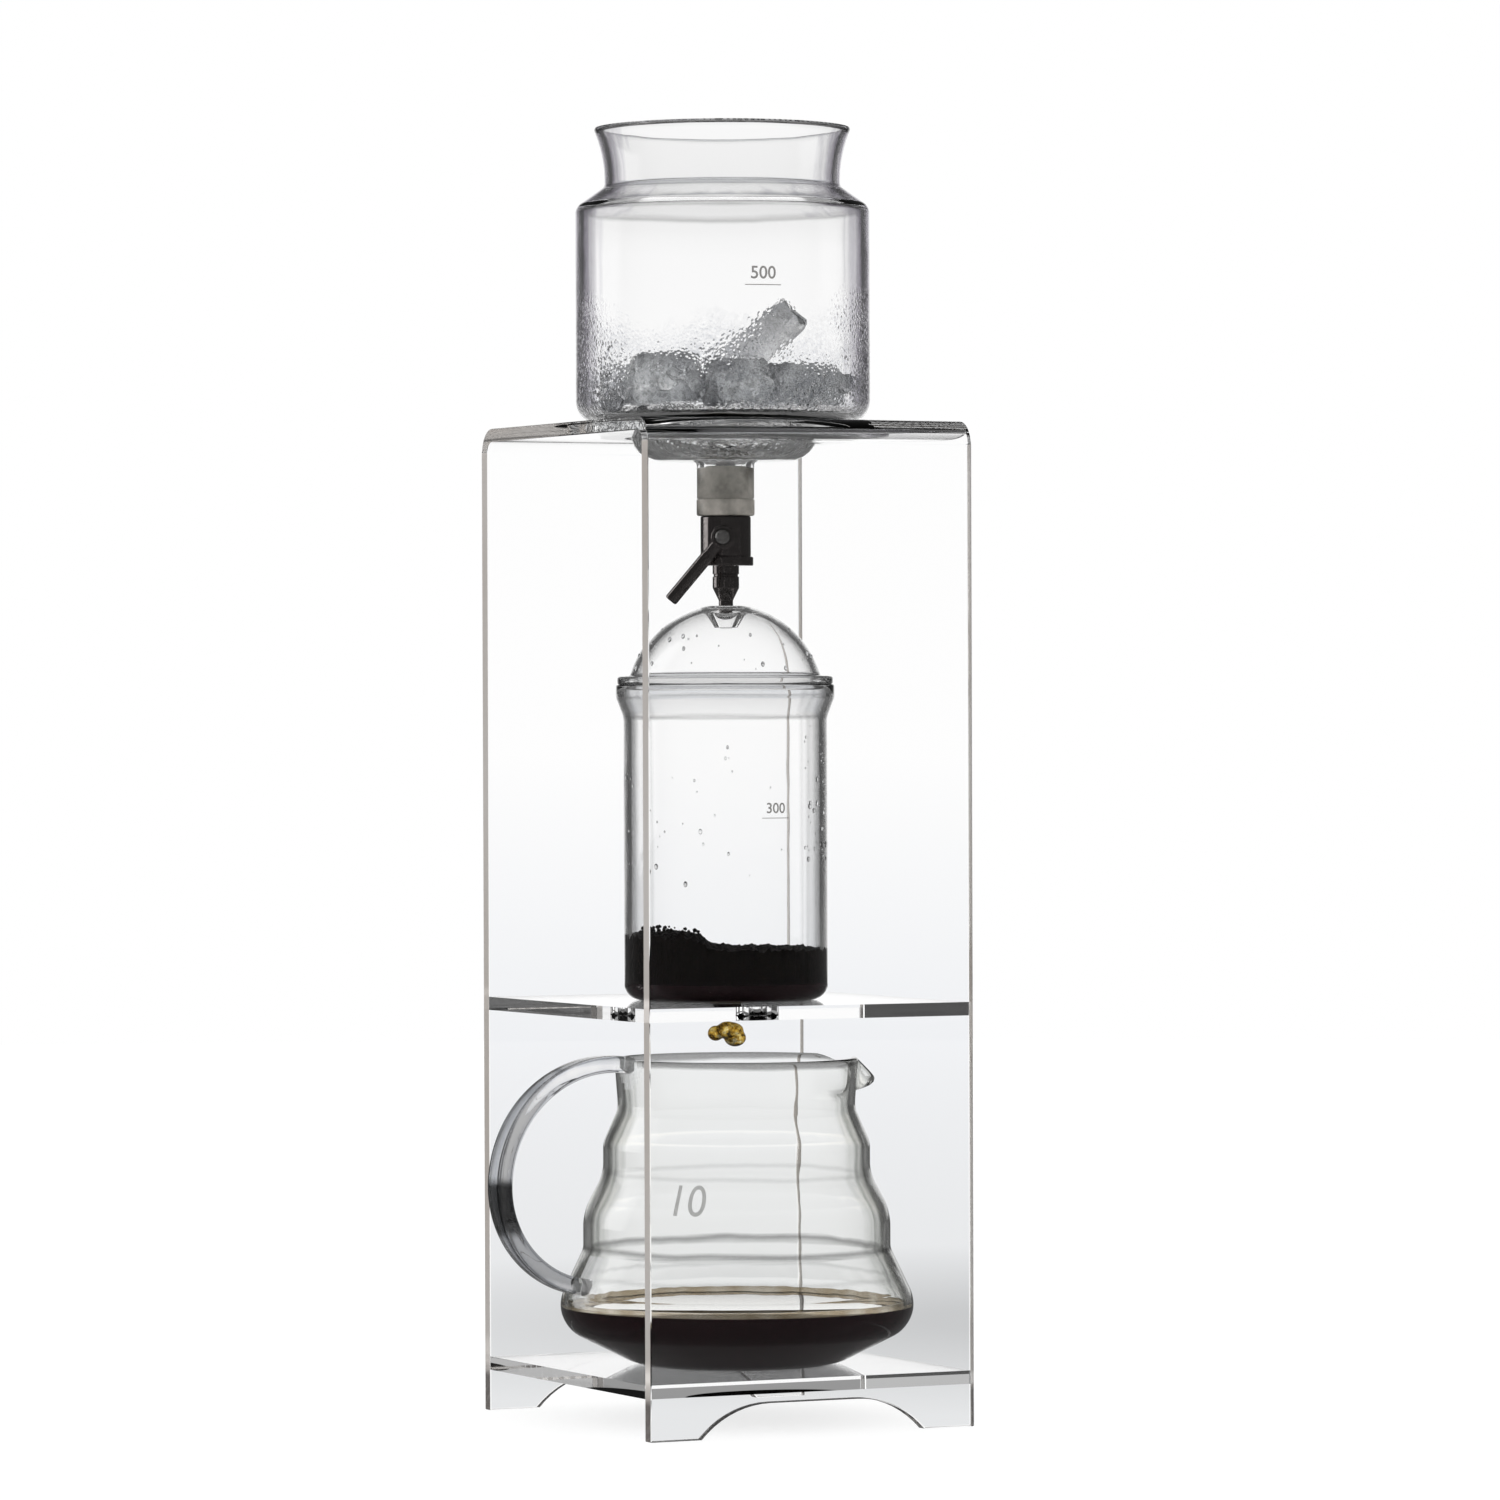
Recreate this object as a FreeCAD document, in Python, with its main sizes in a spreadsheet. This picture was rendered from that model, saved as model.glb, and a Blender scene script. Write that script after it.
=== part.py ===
import FreeCAD, Part
import Sketcher
import math
import os
import re
from FreeCAD import Rotation, Vector

# Cold drip coffee tower: a water bowl with a tap, a dripper under a dome lid and a carafe, one above
# the other in a clear acrylic stand. Millimetres. X runs along the side panels and +X is the spout's
# side, Y runs across the stand, Z is up. The origin is on the floor, under the middle of the whole.

SIZES = {
    # Stand: one bent sheet and two shelves
    "panel_width": 133, "acrylic": 5, "bend_radius": 9, "base_shelf_top": 20.5,
    "middle_shelf_top": 157.5, "carafe_room": 2.5, "nozzle_dip": 1.28,
    "foot_length": 20.7, "arch_height": 12.3, "arch_round": 38,
    "well_clearance": 2, "outlet_clearance": 1.1,
    # Water bowl, its shoulder's height from the top plate
    "bowl_radius": 55.3, "bowl_corner": 9, "bowl_wall": 3, "shoulder_height": 81.8,
    "shoulder_round": 4, "shoulder_rise": 7.7, "bowl_neck_radius": 44.3, "bowl_neck_length": 12.1,
    "bowl_neck_round": 2.5, "flare_length": 9.9, "flare_width": 4.2, "flare_round": 42,
    "bowl_lip_round": 1.2,
    "well_radius": 35, "well_depth": 13.5, "well_round": 11, "seat_round": 1.5,
    "spigot_radius": 10.8, "spigot_length": 14.5, "spigot_root_round": 2, "spigot_lip_round": 0.6,
    # Bung
    "bung_head_radius": 10.9, "bung_head": 6.2, "bung_plug": 12.5, "bung_taper": 0.4,
    "bung_clearance": 0.1, "bung_round": 0.8,
    # Tap, turned about the bowl's axis; heights from the ball's centre
    "valve_turn": 30, "ball_radius": 5, "ball_bore": 2, "ball_clearance": 0.03,
    "seat_radius": 6.5, "seat_bore": 2.6, "seat_near": 3, "seat_far": 5.5, "seat_clearance": 0.1,
    "tap_radius": 9.5, "tap_above": 8.3, "tap_below": 7, "tap_chamfer": 0.8,
    "collar_radius": 10.4, "collar_height": 3.5, "collar_chamfer": 0.6,
    "stem_radius": 3.5, "stem_bore": 1.8, "stem_barb": 0.35, "barb_pitch": 3, "stem_rise": 2.6,
    "nozzle_radius": 5, "nozzle_barrel": 8.3, "nozzle_cone": 4.7, "nozzle_tip_radius": 2.7,
    "nozzle_tip": 3.1, "nozzle_bore": 1.2, "nozzle_thread_radius": 3.1, "nozzle_thread": 2.8,
    # Spindle, lever and screw, along the spindle from the ball's centre
    "spindle_radius": 2.45, "spindle_clearance": 0.05, "slot_width": 2, "slot_floor": 3.4,
    "slot_length": 4.6, "tongue_clearance": 0.1, "spindle_start": 5.1,
    "groove_place": 7.3, "groove_width": 0.9, "groove_radius": 1.7, "ring_thickness": 0.76,
    "spindle_neck": 1.9, "fit_gap": 0.05, "lever_gap": 0.5, "hub_radius": 4.5, "hub_width": 6,
    "hub_chamfer": 0.6, "hub_cover": 1,
    "lever_length": 31, "lever_radius": 2.5, "lever_round": 0.7, "lever_angle": 50,
    "screw_radius": 1.1, "screw_length": 5, "screw_head_radius": 2.7, "screw_head": 1.4,
    # Dome lid, heights above the dripper's rim
    "lid_inset": 0.5, "lid_flange": 3, "lid_skirt": 2.5, "skirt_wall": 3.55, "lid_clearance": 0.4,
    "lid_wall": 2.2, "dome_drop": 6.7, "funnel_mouth": 5.6, "funnel_throat": 2, "funnel_depth": 8.5,
    "funnel_round": 1.2, "lid_round": 0.8,
    # Dripper, heights above the middle shelf
    "dripper_radius": 37.9, "dripper_height": 118.5, "dripper_wall": 2.8, "dripper_base_round": 6,
    "rim_flare": 2.8, "rim_height": 5, "rim_taper": 7.5, "rim_round": 3.5, "dripper_lip_round": 0.8,
    "outlet_radius": 5.15, "outlet_drop": 8, "outlet_root_round": 1, "outlet_lip_round": 0.5,
    # Filter
    "filter_sheet": 0.8, "filter_rise": 2.3, "filter_hole": 1.5, "filter_ring_pitch": 7.5,
    "gasket_gap": 0.15, "gasket_height": 3.3, "gasket_width": 3.5,
    # Carafe, heights above the base shelf
    "carafe_shift": 4.1, "carafe_height": 115, "carafe_wall": 2.4, "carafe_lip_round": 0.8,
    "carafe_base_radius": 37.6, "carafe_base_round": 20, "carafe_radius": 66,
    "belly_foot": 14.4, "belly_foot_round": 12, "belly_top": 25.2, "belly_top_round": 12,
    "low_waist_radius": 57.4, "low_waist_foot": 43.3, "low_waist_top": 57, "low_waist_round": 6,
    "low_wave_round": 20, "mid_waist_radius": 49.8, "mid_waist_foot": 71.5, "mid_waist_top": 83.3,
    "mid_waist_round": 15, "mid_wave_round": 10, "carafe_neck_radius": 44.2,
    "carafe_neck_height": 96, "carafe_neck_round": 10, "carafe_lip_radius": 45.5,
    "spout_reach": 57.8, "spout_drop": 8.8, "spout_tip_radius": 2.6, "spout_angle": 37,
    "spout_dip": 14, "spout_length": 21, "spout_wall": 1.8,
    # Handle, a strap along two arcs that meet at its furthest point
    "handle_reach": 97.2, "handle_height": 69, "handle_upper_arc": 44.8, "handle_lower_arc": 38.4,
    "handle_thickness": 6.3, "handle_width": 12.5, "handle_edge": 2.7, "handle_upper_sweep": 107,
    "handle_lower_sweep": 96,
    # Contents
    "contents_gap": 0.3, "coffee_level": 22.5, "grounds_high": 25.5, "grounds_low": 19.8,
    "grounds_step": 4, "grounds_turn": 26, "water_level": 4.5, "drop_radius": 7.4, "drop_height": 9.5,
    "ice_turn": 26, "ice_edge": 2, "ice_length": 25, "ice_width": 22, "ice_height": 22,
}

# Places and sizes that follow from the sizes above
RULES = {
    # The whole is as long as from the handle's back to the panels or the belly, whichever is further
    "spout_side": "max(panel_width / 2; carafe_shift + carafe_radius)",
    "tower_x": "(handle_reach + handle_thickness / 2 - carafe_shift - spout_side) / 2",
    "stand_span": "2 * (carafe_radius + carafe_room + acrylic)",
    # The plate stands as high as the tap needs to end in the lid's funnel
    "stand_height": "lid_z + funnel_top - nozzle_dip + tap_hang + spigot_length + well_depth",
    "tap_hang": "nozzle_length + collar_height + tap_below + tap_above + bung_head",
    "well_hole": "well_radius + well_clearance",
    "outlet_hole": "drop_radius + outlet_clearance",
    "bowl_z": "stand_height - well_depth - spigot_length",
    "seat": "spigot_length + well_depth",
    "bowl_neck_height": "shoulder_height + shoulder_rise",
    "flare_height": "bowl_neck_height + bowl_neck_length",
    "bowl_height": "flare_height + flare_length",
    "bowl_lip_radius": "bowl_neck_radius + flare_width",
    "spigot_bore": "spigot_radius - bowl_wall",
    "tap_top_z": "bowl_z - bung_head",
    "valve_z": "tap_top_z - tap_above",
    "tap_cavity": "seat_radius + seat_clearance",
    "stem_length": "tap_above - seat_far + bung_head + bung_plug + stem_rise",
    "collar_z": "valve_z - tap_below - collar_height",
    "nozzle_length": "nozzle_barrel + nozzle_cone + nozzle_tip",
    "hub_start": "tap_radius + lever_gap",
    "hub_end": "hub_start + hub_width",
    "spindle_end": "hub_end - hub_cover",
    "rim_z": "middle_shelf_top + dripper_height",
    "rim_radius": "dripper_radius + rim_flare",
    "lid_z": "rim_z - lid_skirt",
    "lid_flange_radius": "rim_radius - lid_inset",
    "skirt_radius": "rim_radius - dripper_wall - lid_clearance",
    "dome_inner_foot": "skirt_radius - skirt_wall",
    "dome_inner": "sqrt(dome_inner_foot ^ 2 + dome_drop ^ 2)",
    "dome_radius": "dome_inner + lid_wall",
    "dome_foot": "sqrt(dome_radius ^ 2 - (dome_drop + lid_flange) ^ 2)",
    "funnel_top": "lid_skirt - dome_drop + sqrt(dome_radius ^ 2 - funnel_mouth ^ 2)",
    "funnel_shoulder": "funnel_mouth + lid_wall",
    "funnel_root": "lid_skirt - dome_drop + sqrt(dome_inner ^ 2 - funnel_shoulder ^ 2)",
    "dripper_bore": "dripper_radius - dripper_wall",
    "dripper_floor_z": "middle_shelf_top + dripper_wall",
    "dripper_inner_round": "dripper_base_round - dripper_wall",
    "gasket_radius": "dripper_bore - contents_gap",
    "filter_radius": "gasket_radius - gasket_width",
    "grounds_z": "dripper_floor_z + gasket_height + contents_gap",
    "carafe_x": "tower_x + carafe_shift",
    "tip_height": "carafe_height - spout_drop",
    # The coffee lies inside the carafe's wall: half the belly's slope, as a tangent
    "coffee_inset": "carafe_wall + contents_gap",
    "belly_slope": "belly_foot / (carafe_radius - carafe_base_radius)",
    "half_slope": "(sqrt(1 + belly_slope ^ 2) - 1) / belly_slope",
}

doc = FreeCAD.newDocument("cold_drip_tower")
sheet = doc.addObject("Spreadsheet::Sheet", "Sizes")
for row, (name, size) in enumerate(SIZES.items(), start=1):
    sheet.set(f"A{row}", name)
    sheet.set(f"B{row}", str(size))
    sheet.setAlias(f"B{row}", name)
doc.recompute()


def formula(text):
    """Write words such as "bowl_wall * 2" as an expression on the sheet's cells."""
    def word(match):
        name = match.group(0)
        if name in RULES:
            return "(" + formula(RULES[name]) + ")"
        return "Sizes." + name if name in SIZES else name
    return re.sub(r"[a-z][a-z_0-9]*", word, str(text))


def value(text):
    return float(sheet.evalExpression(formula(text)))


def new_body(name):
    body = doc.addObject("PartDesign::Body", name)
    body.Label = name
    doc.recompute()
    return body


def origin_plane(body, role):
    return next(plane for plane in body.Origin.OriginFeatures if plane.Role == role)


def new_sketch(body, name, role, height="0"):
    """A sketch on one of the body's own planes, moved along the plane's normal by height."""
    sketch = body.newObject("Sketcher::SketchObject", name)
    sketch.AttachmentSupport = [(origin_plane(body, role), "")]
    sketch.MapMode = "FlatFace"
    if height != "0":
        sketch.setExpression("AttachmentOffset.Base.z", formula(height))
    return sketch


def constrain(sketch, kind, *where, size=None):
    """Add a constraint. One with a size is bound to the sheet."""
    if size is None:
        return sketch.addConstraint(Sketcher.Constraint(kind, *where))
    index = sketch.addConstraint(Sketcher.Constraint(kind, *where, value(size)))
    sketch.setExpression(f"Constraints[{index}]", formula(size))
    return index


def fix_point(sketch, edge, end, x, y):
    """Fix one end of an edge, or a point, at x and y from the sketch's origin."""
    for kind, axis, size in (("DistanceX", -2, x), ("DistanceY", -1, y)):
        if str(size) == "0":
            constrain(sketch, "PointOnObject", edge, end, axis)
        else:
            constrain(sketch, kind, -1, 1, edge, end, size=size)


def arc_between(start, end, radius):
    """The arc from start to end, anticlockwise if its radius is positive."""
    chord = end - start
    rise = math.sqrt(max(radius ** 2 - (chord.Length / 2) ** 2, 0))
    side = Vector(-chord.y, chord.x, 0).normalize() * math.copysign(rise, radius)
    centre = start + chord * 0.5 + side
    first, last = (start, end) if radius > 0 else (end, start)
    angles = [math.atan2(point.y - centre.y, point.x - centre.x) for point in (first, last)]
    return Part.ArcOfCircle(Part.Circle(centre, Vector(0, 0, 1), abs(radius)), *angles)


def draw_outline(sketch, corners):
    """Draw a closed outline. A corner is (x, y), (x, y, round) or (x, y, "0", radius of the arc
    that leaves it), each a formula; a negative arc radius turns clockwise."""
    corners = [tuple(corner) + ("0",) * (4 - len(corner)) for corner in corners]
    points = [Vector(value(x), value(y), 0) for x, y, _, _ in corners]
    count = len(points)
    ways = [(points[(i + 1) % count] - points[i]).normalize() for i in range(count)]
    starts, ends, rounds = list(points), list(points), {}
    for i, (_, _, round_size, _) in enumerate(corners):
        if round_size != "0":
            turn = ways[i - 1].getAngle(ways[i])
            setback = value(round_size) * math.tan(turn / 2)
            ends[i] = points[i] - ways[i - 1] * setback
            starts[i] = points[i] + ways[i] * setback
    edges = []
    for i in range(count):
        arc_size, finish = corners[i][3], ends[(i + 1) % count]
        if arc_size == "0":
            edges.append((sketch.addGeometry(Part.LineSegment(starts[i], finish)), 1, 2))
        else:
            bow = value(arc_size)
            arc = sketch.addGeometry(arc_between(starts[i], finish, bow))
            constrain(sketch, "Radius", arc, size=arc_size.lstrip("-"))
            edges.append((arc, 1, 2) if bow > 0 else (arc, 2, 1))
    for i, (x, y, round_size, _) in enumerate(corners):
        before, after = edges[i - 1], edges[i]
        if round_size == "0":
            constrain(sketch, "Coincident", before[0], before[2], after[0], after[1])
            fix_point(sketch, after[0], after[1], x, y)
            continue
        left = (ways[i - 1].cross(ways[i])).z > 0
        bow = value(round_size) * (1 if left else -1)
        rounding = sketch.addGeometry(arc_between(ends[i], starts[i], bow))
        first, last = (1, 2) if left else (2, 1)
        constrain(sketch, "Tangent", before[0], before[2], rounding, first)
        constrain(sketch, "Tangent", rounding, last, after[0], after[1])
        constrain(sketch, "Radius", rounding, size=round_size)
        point = sketch.addGeometry(Part.Point(points[i]), True)
        fix_point(sketch, point, 1, x, y)
        constrain(sketch, "PointOnObject", point, 1, before[0])
        constrain(sketch, "PointOnObject", point, 1, after[0])
    return sketch


def draw_circle(sketch, x, y, radius):
    centre = Vector(value(x), value(y), 0)
    circle = sketch.addGeometry(Part.Circle(centre, Vector(0, 0, 1), value(radius)))
    constrain(sketch, "Radius", circle, size=radius)
    fix_point(sketch, circle, 3, x, y)
    return sketch


def revolve(body, name, corners, kind="PartDesign::Revolution"):
    """Turn an outline of (radius, height) corners about the body's Z axis."""
    sketch = draw_outline(new_sketch(body, name + "_outline", "XZ_Plane"), corners)
    feature = body.newObject(kind, name)
    feature.Profile = sketch
    feature.ReferenceAxis = (sketch, ["V_Axis"])
    feature.Angle = 360
    doc.recompute()
    return feature


def pad(body, name, sketch, length, side="One side", back=False):
    feature = body.newObject("PartDesign::Pad", name)
    feature.Profile = sketch
    feature.SideType = side
    feature.Reversed = back
    feature.setExpression("Length", formula(length))
    doc.recompute()
    return feature


def cut_through(body, name, sketch, both_ways=False, back=False):
    """Cut a sketch's outline through the whole body."""
    feature = body.newObject("PartDesign::Pocket", name)
    feature.Profile = sketch
    feature.Type = "ThroughAll"
    feature.SideType = "Symmetric" if both_ways else "One side"
    feature.Reversed = back
    doc.recompute()
    return feature


def hollow(body, name, wall, heights):
    """Shell the body inwards, open at its flat faces that reach up to the given heights."""
    form = body.Tip
    levels = [value(height) for height in heights]
    faces = [f"Face{i}" for i, face in enumerate(form.Shape.Faces, start=1)
             if isinstance(face.Surface, Part.Plane)
             and any(abs(face.BoundBox.ZMax - z) < 0.01 for z in levels)]
    feature = body.newObject("PartDesign::Thickness", name)
    feature.Base = (form, faces)
    feature.Reversed = True
    feature.setExpression("Value", formula(wall))
    doc.recompute()
    return feature


def soften(body, name, kind, size, circles, axis=Vector(0, 0, 1)):
    """Fillet or chamfer round edges, each given as (radius or None for any, place along axis)."""
    form = body.Tip
    wanted = [(radius and value(radius), value(where)) for radius, where in circles]
    edges = []
    for i, edge in enumerate(form.Shape.Edges, start=1):
        if not isinstance(edge.Curve, Part.Circle) or abs(edge.Curve.Axis.dot(axis)) < 0.99:
            continue
        along = edge.Curve.Center.dot(axis)
        if any(abs(along - where) < 0.02 and (radius is None or abs(edge.Curve.Radius - radius) < 0.02)
               for radius, where in wanted):
            edges.append(f"Edge{i}")
    feature = body.newObject("PartDesign::" + kind, name)
    feature.Base = (form, edges)
    feature.setExpression("Radius" if kind == "Fillet" else "Size", formula(size))
    doc.recompute()
    return feature


def place(thing, x="tower_x", y="0", z="0", turn=None):
    """Put a sub-part at x, y and z. turn is its rotation, made from the sheet's angles."""
    if turn is not None:
        thing.Placement = FreeCAD.Placement(Vector(), turn)
    for axis, place_text in zip("xyz", (x, y, z)):
        thing.setExpression("Placement.Base." + axis, formula(place_text))
    return thing


def about(axis, degrees):
    return Rotation(axis, degrees)


X_AXIS, Z_AXIS = Vector(1, 0, 0), Vector(0, 0, 1)
VALVE_TURN = about(Z_AXIS, -value("valve_turn"))
# What turns with the lever is drawn with Z along the spindle, outwards, and X along the lever
LEVER_TURN = VALVE_TURN.multiply(about(X_AXIS, 90)).multiply(about(Z_AXIS, 180 + value("lever_angle")))


def stand_frame():
    """Acrylic sheet bent into an upside-down U, with a hole for the bowl and arched feet."""
    body = new_body("stand_frame")
    section = new_sketch(body, "bent_sheet", "YZ_Plane")
    half, inner = "stand_span / 2", "stand_span / 2 - acrylic"
    draw_outline(section, [
        ("-" + half, "0"), (f"-({inner})", "0"),
        (f"-({inner})", "stand_height - acrylic", "bend_radius - acrylic"),
        (inner, "stand_height - acrylic", "bend_radius - acrylic"), (inner, "0"), (half, "0"),
        (half, "stand_height", "bend_radius"), ("-" + half, "stand_height", "bend_radius")])
    pad(body, "panels", section, "panel_width", side="Symmetric")
    hole = draw_circle(new_sketch(body, "bowl_hole", "XY_Plane", "stand_height"), "0", "0", "well_hole")
    feature = body.newObject("PartDesign::Pocket", "bowl_opening")
    feature.Profile = hole
    feature.setExpression("Length", formula("acrylic * 2"))
    doc.recompute()
    arch = new_sketch(body, "arch", "XZ_Plane")
    foot = "panel_width / 2 - foot_length"
    slope = "arch_round - arch_height"
    run = f"sqrt(arch_round ^ 2 - ({slope}) ^ 2)"
    draw_outline(arch, [
        (f"-({foot})", "0"), (foot, "0", "0", "arch_round"),
        (f"{foot} - {run}", "arch_height"), (f"-({foot} - {run})", "arch_height", "0", "arch_round")])
    cut_through(body, "arches", arch, both_ways=True)
    return place(body)


def shelf(name, top, hole=None):
    """Flat shelf glued between the panels."""
    body = new_body(name)
    width, depth = "panel_width / 2", "stand_span / 2 - acrylic"
    sketch = draw_outline(new_sketch(body, name + "_outline", "XY_Plane"), [
        ("-" + width, f"-({depth})"), (width, f"-({depth})"), (width, depth), ("-" + width, depth)])
    if hole:
        draw_circle(sketch, "0", "0", hole)
    pad(body, name + "_sheet", sketch, "acrylic", back=True)
    return place(body, z=top)


def water_bowl():
    """Jar with a flared neck. A well drops through the top plate and ends in a spigot."""
    body = new_body("water_bowl")
    revolve(body, "bowl_form", [
        ("0", "0"), ("spigot_radius", "0"), ("spigot_radius", "spigot_length", "spigot_root_round"),
        ("well_radius", "spigot_length", "well_round"), ("well_radius", "seat", "seat_round"),
        ("bowl_radius", "seat", "bowl_corner"),
        ("bowl_radius", "seat + shoulder_height", "shoulder_round"),
        ("bowl_neck_radius", "seat + bowl_neck_height", "bowl_neck_round"),
        ("bowl_neck_radius", "seat + flare_height", "flare_round"),
        ("bowl_lip_radius", "seat + bowl_height"), ("0", "seat + bowl_height")])
    hollow(body, "bowl_wall", "bowl_wall", ["0", "seat + bowl_height"])
    soften(body, "bowl_lip", "Fillet", "bowl_lip_round", [(None, "seat + bowl_height")])
    soften(body, "spigot_lip", "Fillet", "spigot_lip_round", [(None, "0")])
    return place(body, z="bowl_z")


def bowl_stopper():
    """Silicone bung: a head below the spigot and a tapered plug inside it, round the tap's stem."""
    body = new_body("bowl_stopper")
    plug, bore = "spigot_bore - bung_clearance", "stem_radius + bung_clearance"
    revolve(body, "bung", [
        (bore, "0"), ("bung_head_radius", "0", "bung_round"), ("bung_head_radius", "bung_head"),
        (plug, "bung_head"), (f"{plug} - bung_taper", "bung_head + bung_plug", "bung_round"),
        (bore, "bung_head + bung_plug")])
    return place(body, z="tap_top_z")


def valve_inlet_stem():
    """Barbed steel tube, screwed into the tap body and pushed up through the bung."""
    body = new_body("valve_inlet_stem")
    revolve(body, "stem_tube", [
        ("stem_bore", "0"), ("stem_radius", "0"), ("stem_radius", "stem_length"),
        ("stem_bore", "stem_length")])
    foot = "tap_above - seat_far + bung_head + bung_plug"
    revolve(body, "stem_barb_ring", [
        ("stem_radius", foot), ("stem_radius + stem_barb", foot),
        ("stem_radius", f"{foot} + barb_pitch / 2")])
    return place(body, z="valve_z + seat_far", turn=VALVE_TURN)


def valve_body():
    """Turned tap body: a ball chamber open below, an inlet above and the spindle's hole."""
    body = new_body("valve_body")
    length = "tap_below + tap_above"
    revolve(body, "tap_turning", [
        ("tap_cavity", "0"), ("tap_radius", "0"), ("tap_radius", length), ("stem_radius", length),
        ("stem_radius", "tap_below + seat_far"), ("tap_cavity", "tap_below + seat_far")])
    soften(body, "tap_edges", "Chamfer", "tap_chamfer", [("tap_radius", length)])
    port = draw_circle(new_sketch(body, "spindle_port", "XZ_Plane"), "0", "tap_below",
                       "spindle_radius + spindle_clearance")
    cut_through(body, "spindle_hole", port, back=True)
    return place(body, z="valve_z - tap_below", turn=VALVE_TURN)


def valve_seats():
    """Two soft rings that hold the ball, as a group of separate solids."""
    rings = []
    sphere = "ball_radius + ball_clearance"
    for name, side in (("upper_seat", 1), ("lower_seat", -1)):
        body = new_body(name)
        revolve(body, name + "_ring", [
            ("seat_bore", "seat_far"),
            ("seat_bore", f"sqrt(({sphere}) ^ 2 - seat_bore ^ 2)", "0", f"-({sphere})"),
            (f"sqrt(({sphere}) ^ 2 - seat_near ^ 2)", "seat_near"), ("seat_radius", "seat_near"),
            ("seat_radius", "seat_far")])
        if side < 0:
            body.Placement.Rotation = about(X_AXIS, 180)
        rings.append(body)
    pair = doc.addObject("Part::Compound", "valve_seats")
    pair.Label = "valve_seats"
    pair.Links = rings
    return place(pair, z="valve_z", turn=VALVE_TURN)


def rectangle(half_x, half_y):
    """The corners of a rectangle about a sketch's origin."""
    return [(f"-({half_x})", f"-({half_y})"), (half_x, f"-({half_y})"), (half_x, half_y),
            (f"-({half_x})", half_y)]


def valve_ball():
    """Ball with a cross bore, and a slot for the spindle's tongue."""
    body = new_body("valve_ball")
    revolve(body, "ball", [("0", "-ball_radius", "0", "ball_radius"),
                           ("ball_radius", "0", "0", "ball_radius"), ("0", "ball_radius")])
    bore = draw_circle(new_sketch(body, "bore_outline", "YZ_Plane"), "0", "0", "ball_bore")
    cut_through(body, "cross_bore", bore, both_ways=True)
    slot = new_sketch(body, "slot_outline", "XY_Plane", "slot_floor")
    draw_outline(slot, rectangle("slot_length / 2", "slot_width / 2"))
    cut_through(body, "slot", slot, back=True)
    return place(body, z="valve_z", turn=LEVER_TURN)


def valve_spindle():
    """Turned spindle with a tongue at the ball, a groove for its seal and a tapped outer end."""
    body = new_body("valve_spindle")
    hole = "screw_radius + fit_gap"
    revolve(body, "spindle", [
        ("0", "spindle_start"), ("spindle_radius", "spindle_start"), ("spindle_radius", "groove_place"),
        ("groove_radius", "groove_place"), ("groove_radius", "groove_place + groove_width"),
        ("spindle_radius", "groove_place + groove_width"), ("spindle_radius", "hub_start"),
        ("spindle_neck", "hub_start"), ("spindle_neck", "spindle_end"), (hole, "spindle_end"),
        (hole, "hub_end - screw_length"), ("0", "hub_end - screw_length")])
    tongue = new_sketch(body, "tongue_outline", "XY_Plane", "spindle_start")
    draw_outline(tongue, rectangle("slot_length / 2 - tongue_clearance", "slot_width / 2 - tongue_clearance"))
    pad(body, "tongue", tongue, "spindle_start - slot_floor - tongue_clearance", back=True)
    return place(body, z="valve_z", turn=LEVER_TURN)


def spindle_o_ring():
    """Seal in the spindle's groove."""
    ring = doc.addObject("Part::Torus", "spindle_o_ring")
    ring.Label = "spindle_o_ring"
    ring.setExpression("Radius1", formula("(groove_radius + spindle_radius + spindle_clearance) / 2"))
    ring.setExpression("Radius2", formula("ring_thickness / 2"))
    doc.recompute()
    place(ring, z="valve_z", turn=LEVER_TURN)
    out = LEVER_TURN.multVec(Z_AXIS)
    groove = "groove_place + groove_width / 2"
    ring.setExpression("Placement.Base.x", formula(f"tower_x + ({groove}) * {out.x:.9f}"))
    ring.setExpression("Placement.Base.y", formula(f"({groove}) * {out.y:.9f}"))
    return ring


def valve_lever():
    """Hub on the spindle's neck, and the round rod that turns it."""
    body = new_body("valve_lever")
    bore = "spindle_neck + fit_gap"
    revolve(body, "hub", [(bore, "hub_start"), ("hub_radius", "hub_start"), ("hub_radius", "hub_end"),
                          (bore, "hub_end")])
    soften(body, "hub_edges", "Chamfer", "hub_chamfer", [("hub_radius", "hub_start"),
                                                         ("hub_radius", "hub_end")])
    start = "(spindle_neck + hub_radius) / 2"
    rod = new_sketch(body, "rod_outline", "YZ_Plane", start)
    draw_circle(rod, "0", "(hub_start + hub_end) / 2", "lever_radius")
    pad(body, "rod", rod, f"lever_length - {start}")
    soften(body, "rod_end", "Fillet", "lever_round", [("lever_radius", "lever_length")], X_AXIS)
    return place(body, z="valve_z", turn=LEVER_TURN)


def lever_screw():
    """Screw that holds the lever's hub on the spindle."""
    body = new_body("lever_screw")
    tip = "hub_end - screw_length + fit_gap"
    revolve(body, "screw", [
        ("0", tip), ("screw_radius", tip), ("screw_radius", "hub_end"), ("screw_head_radius", "hub_end"),
        ("screw_head_radius", "hub_end + screw_head", "screw_head / 2"), ("0", "hub_end + screw_head")])
    return place(body, z="valve_z", turn=LEVER_TURN)


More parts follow.
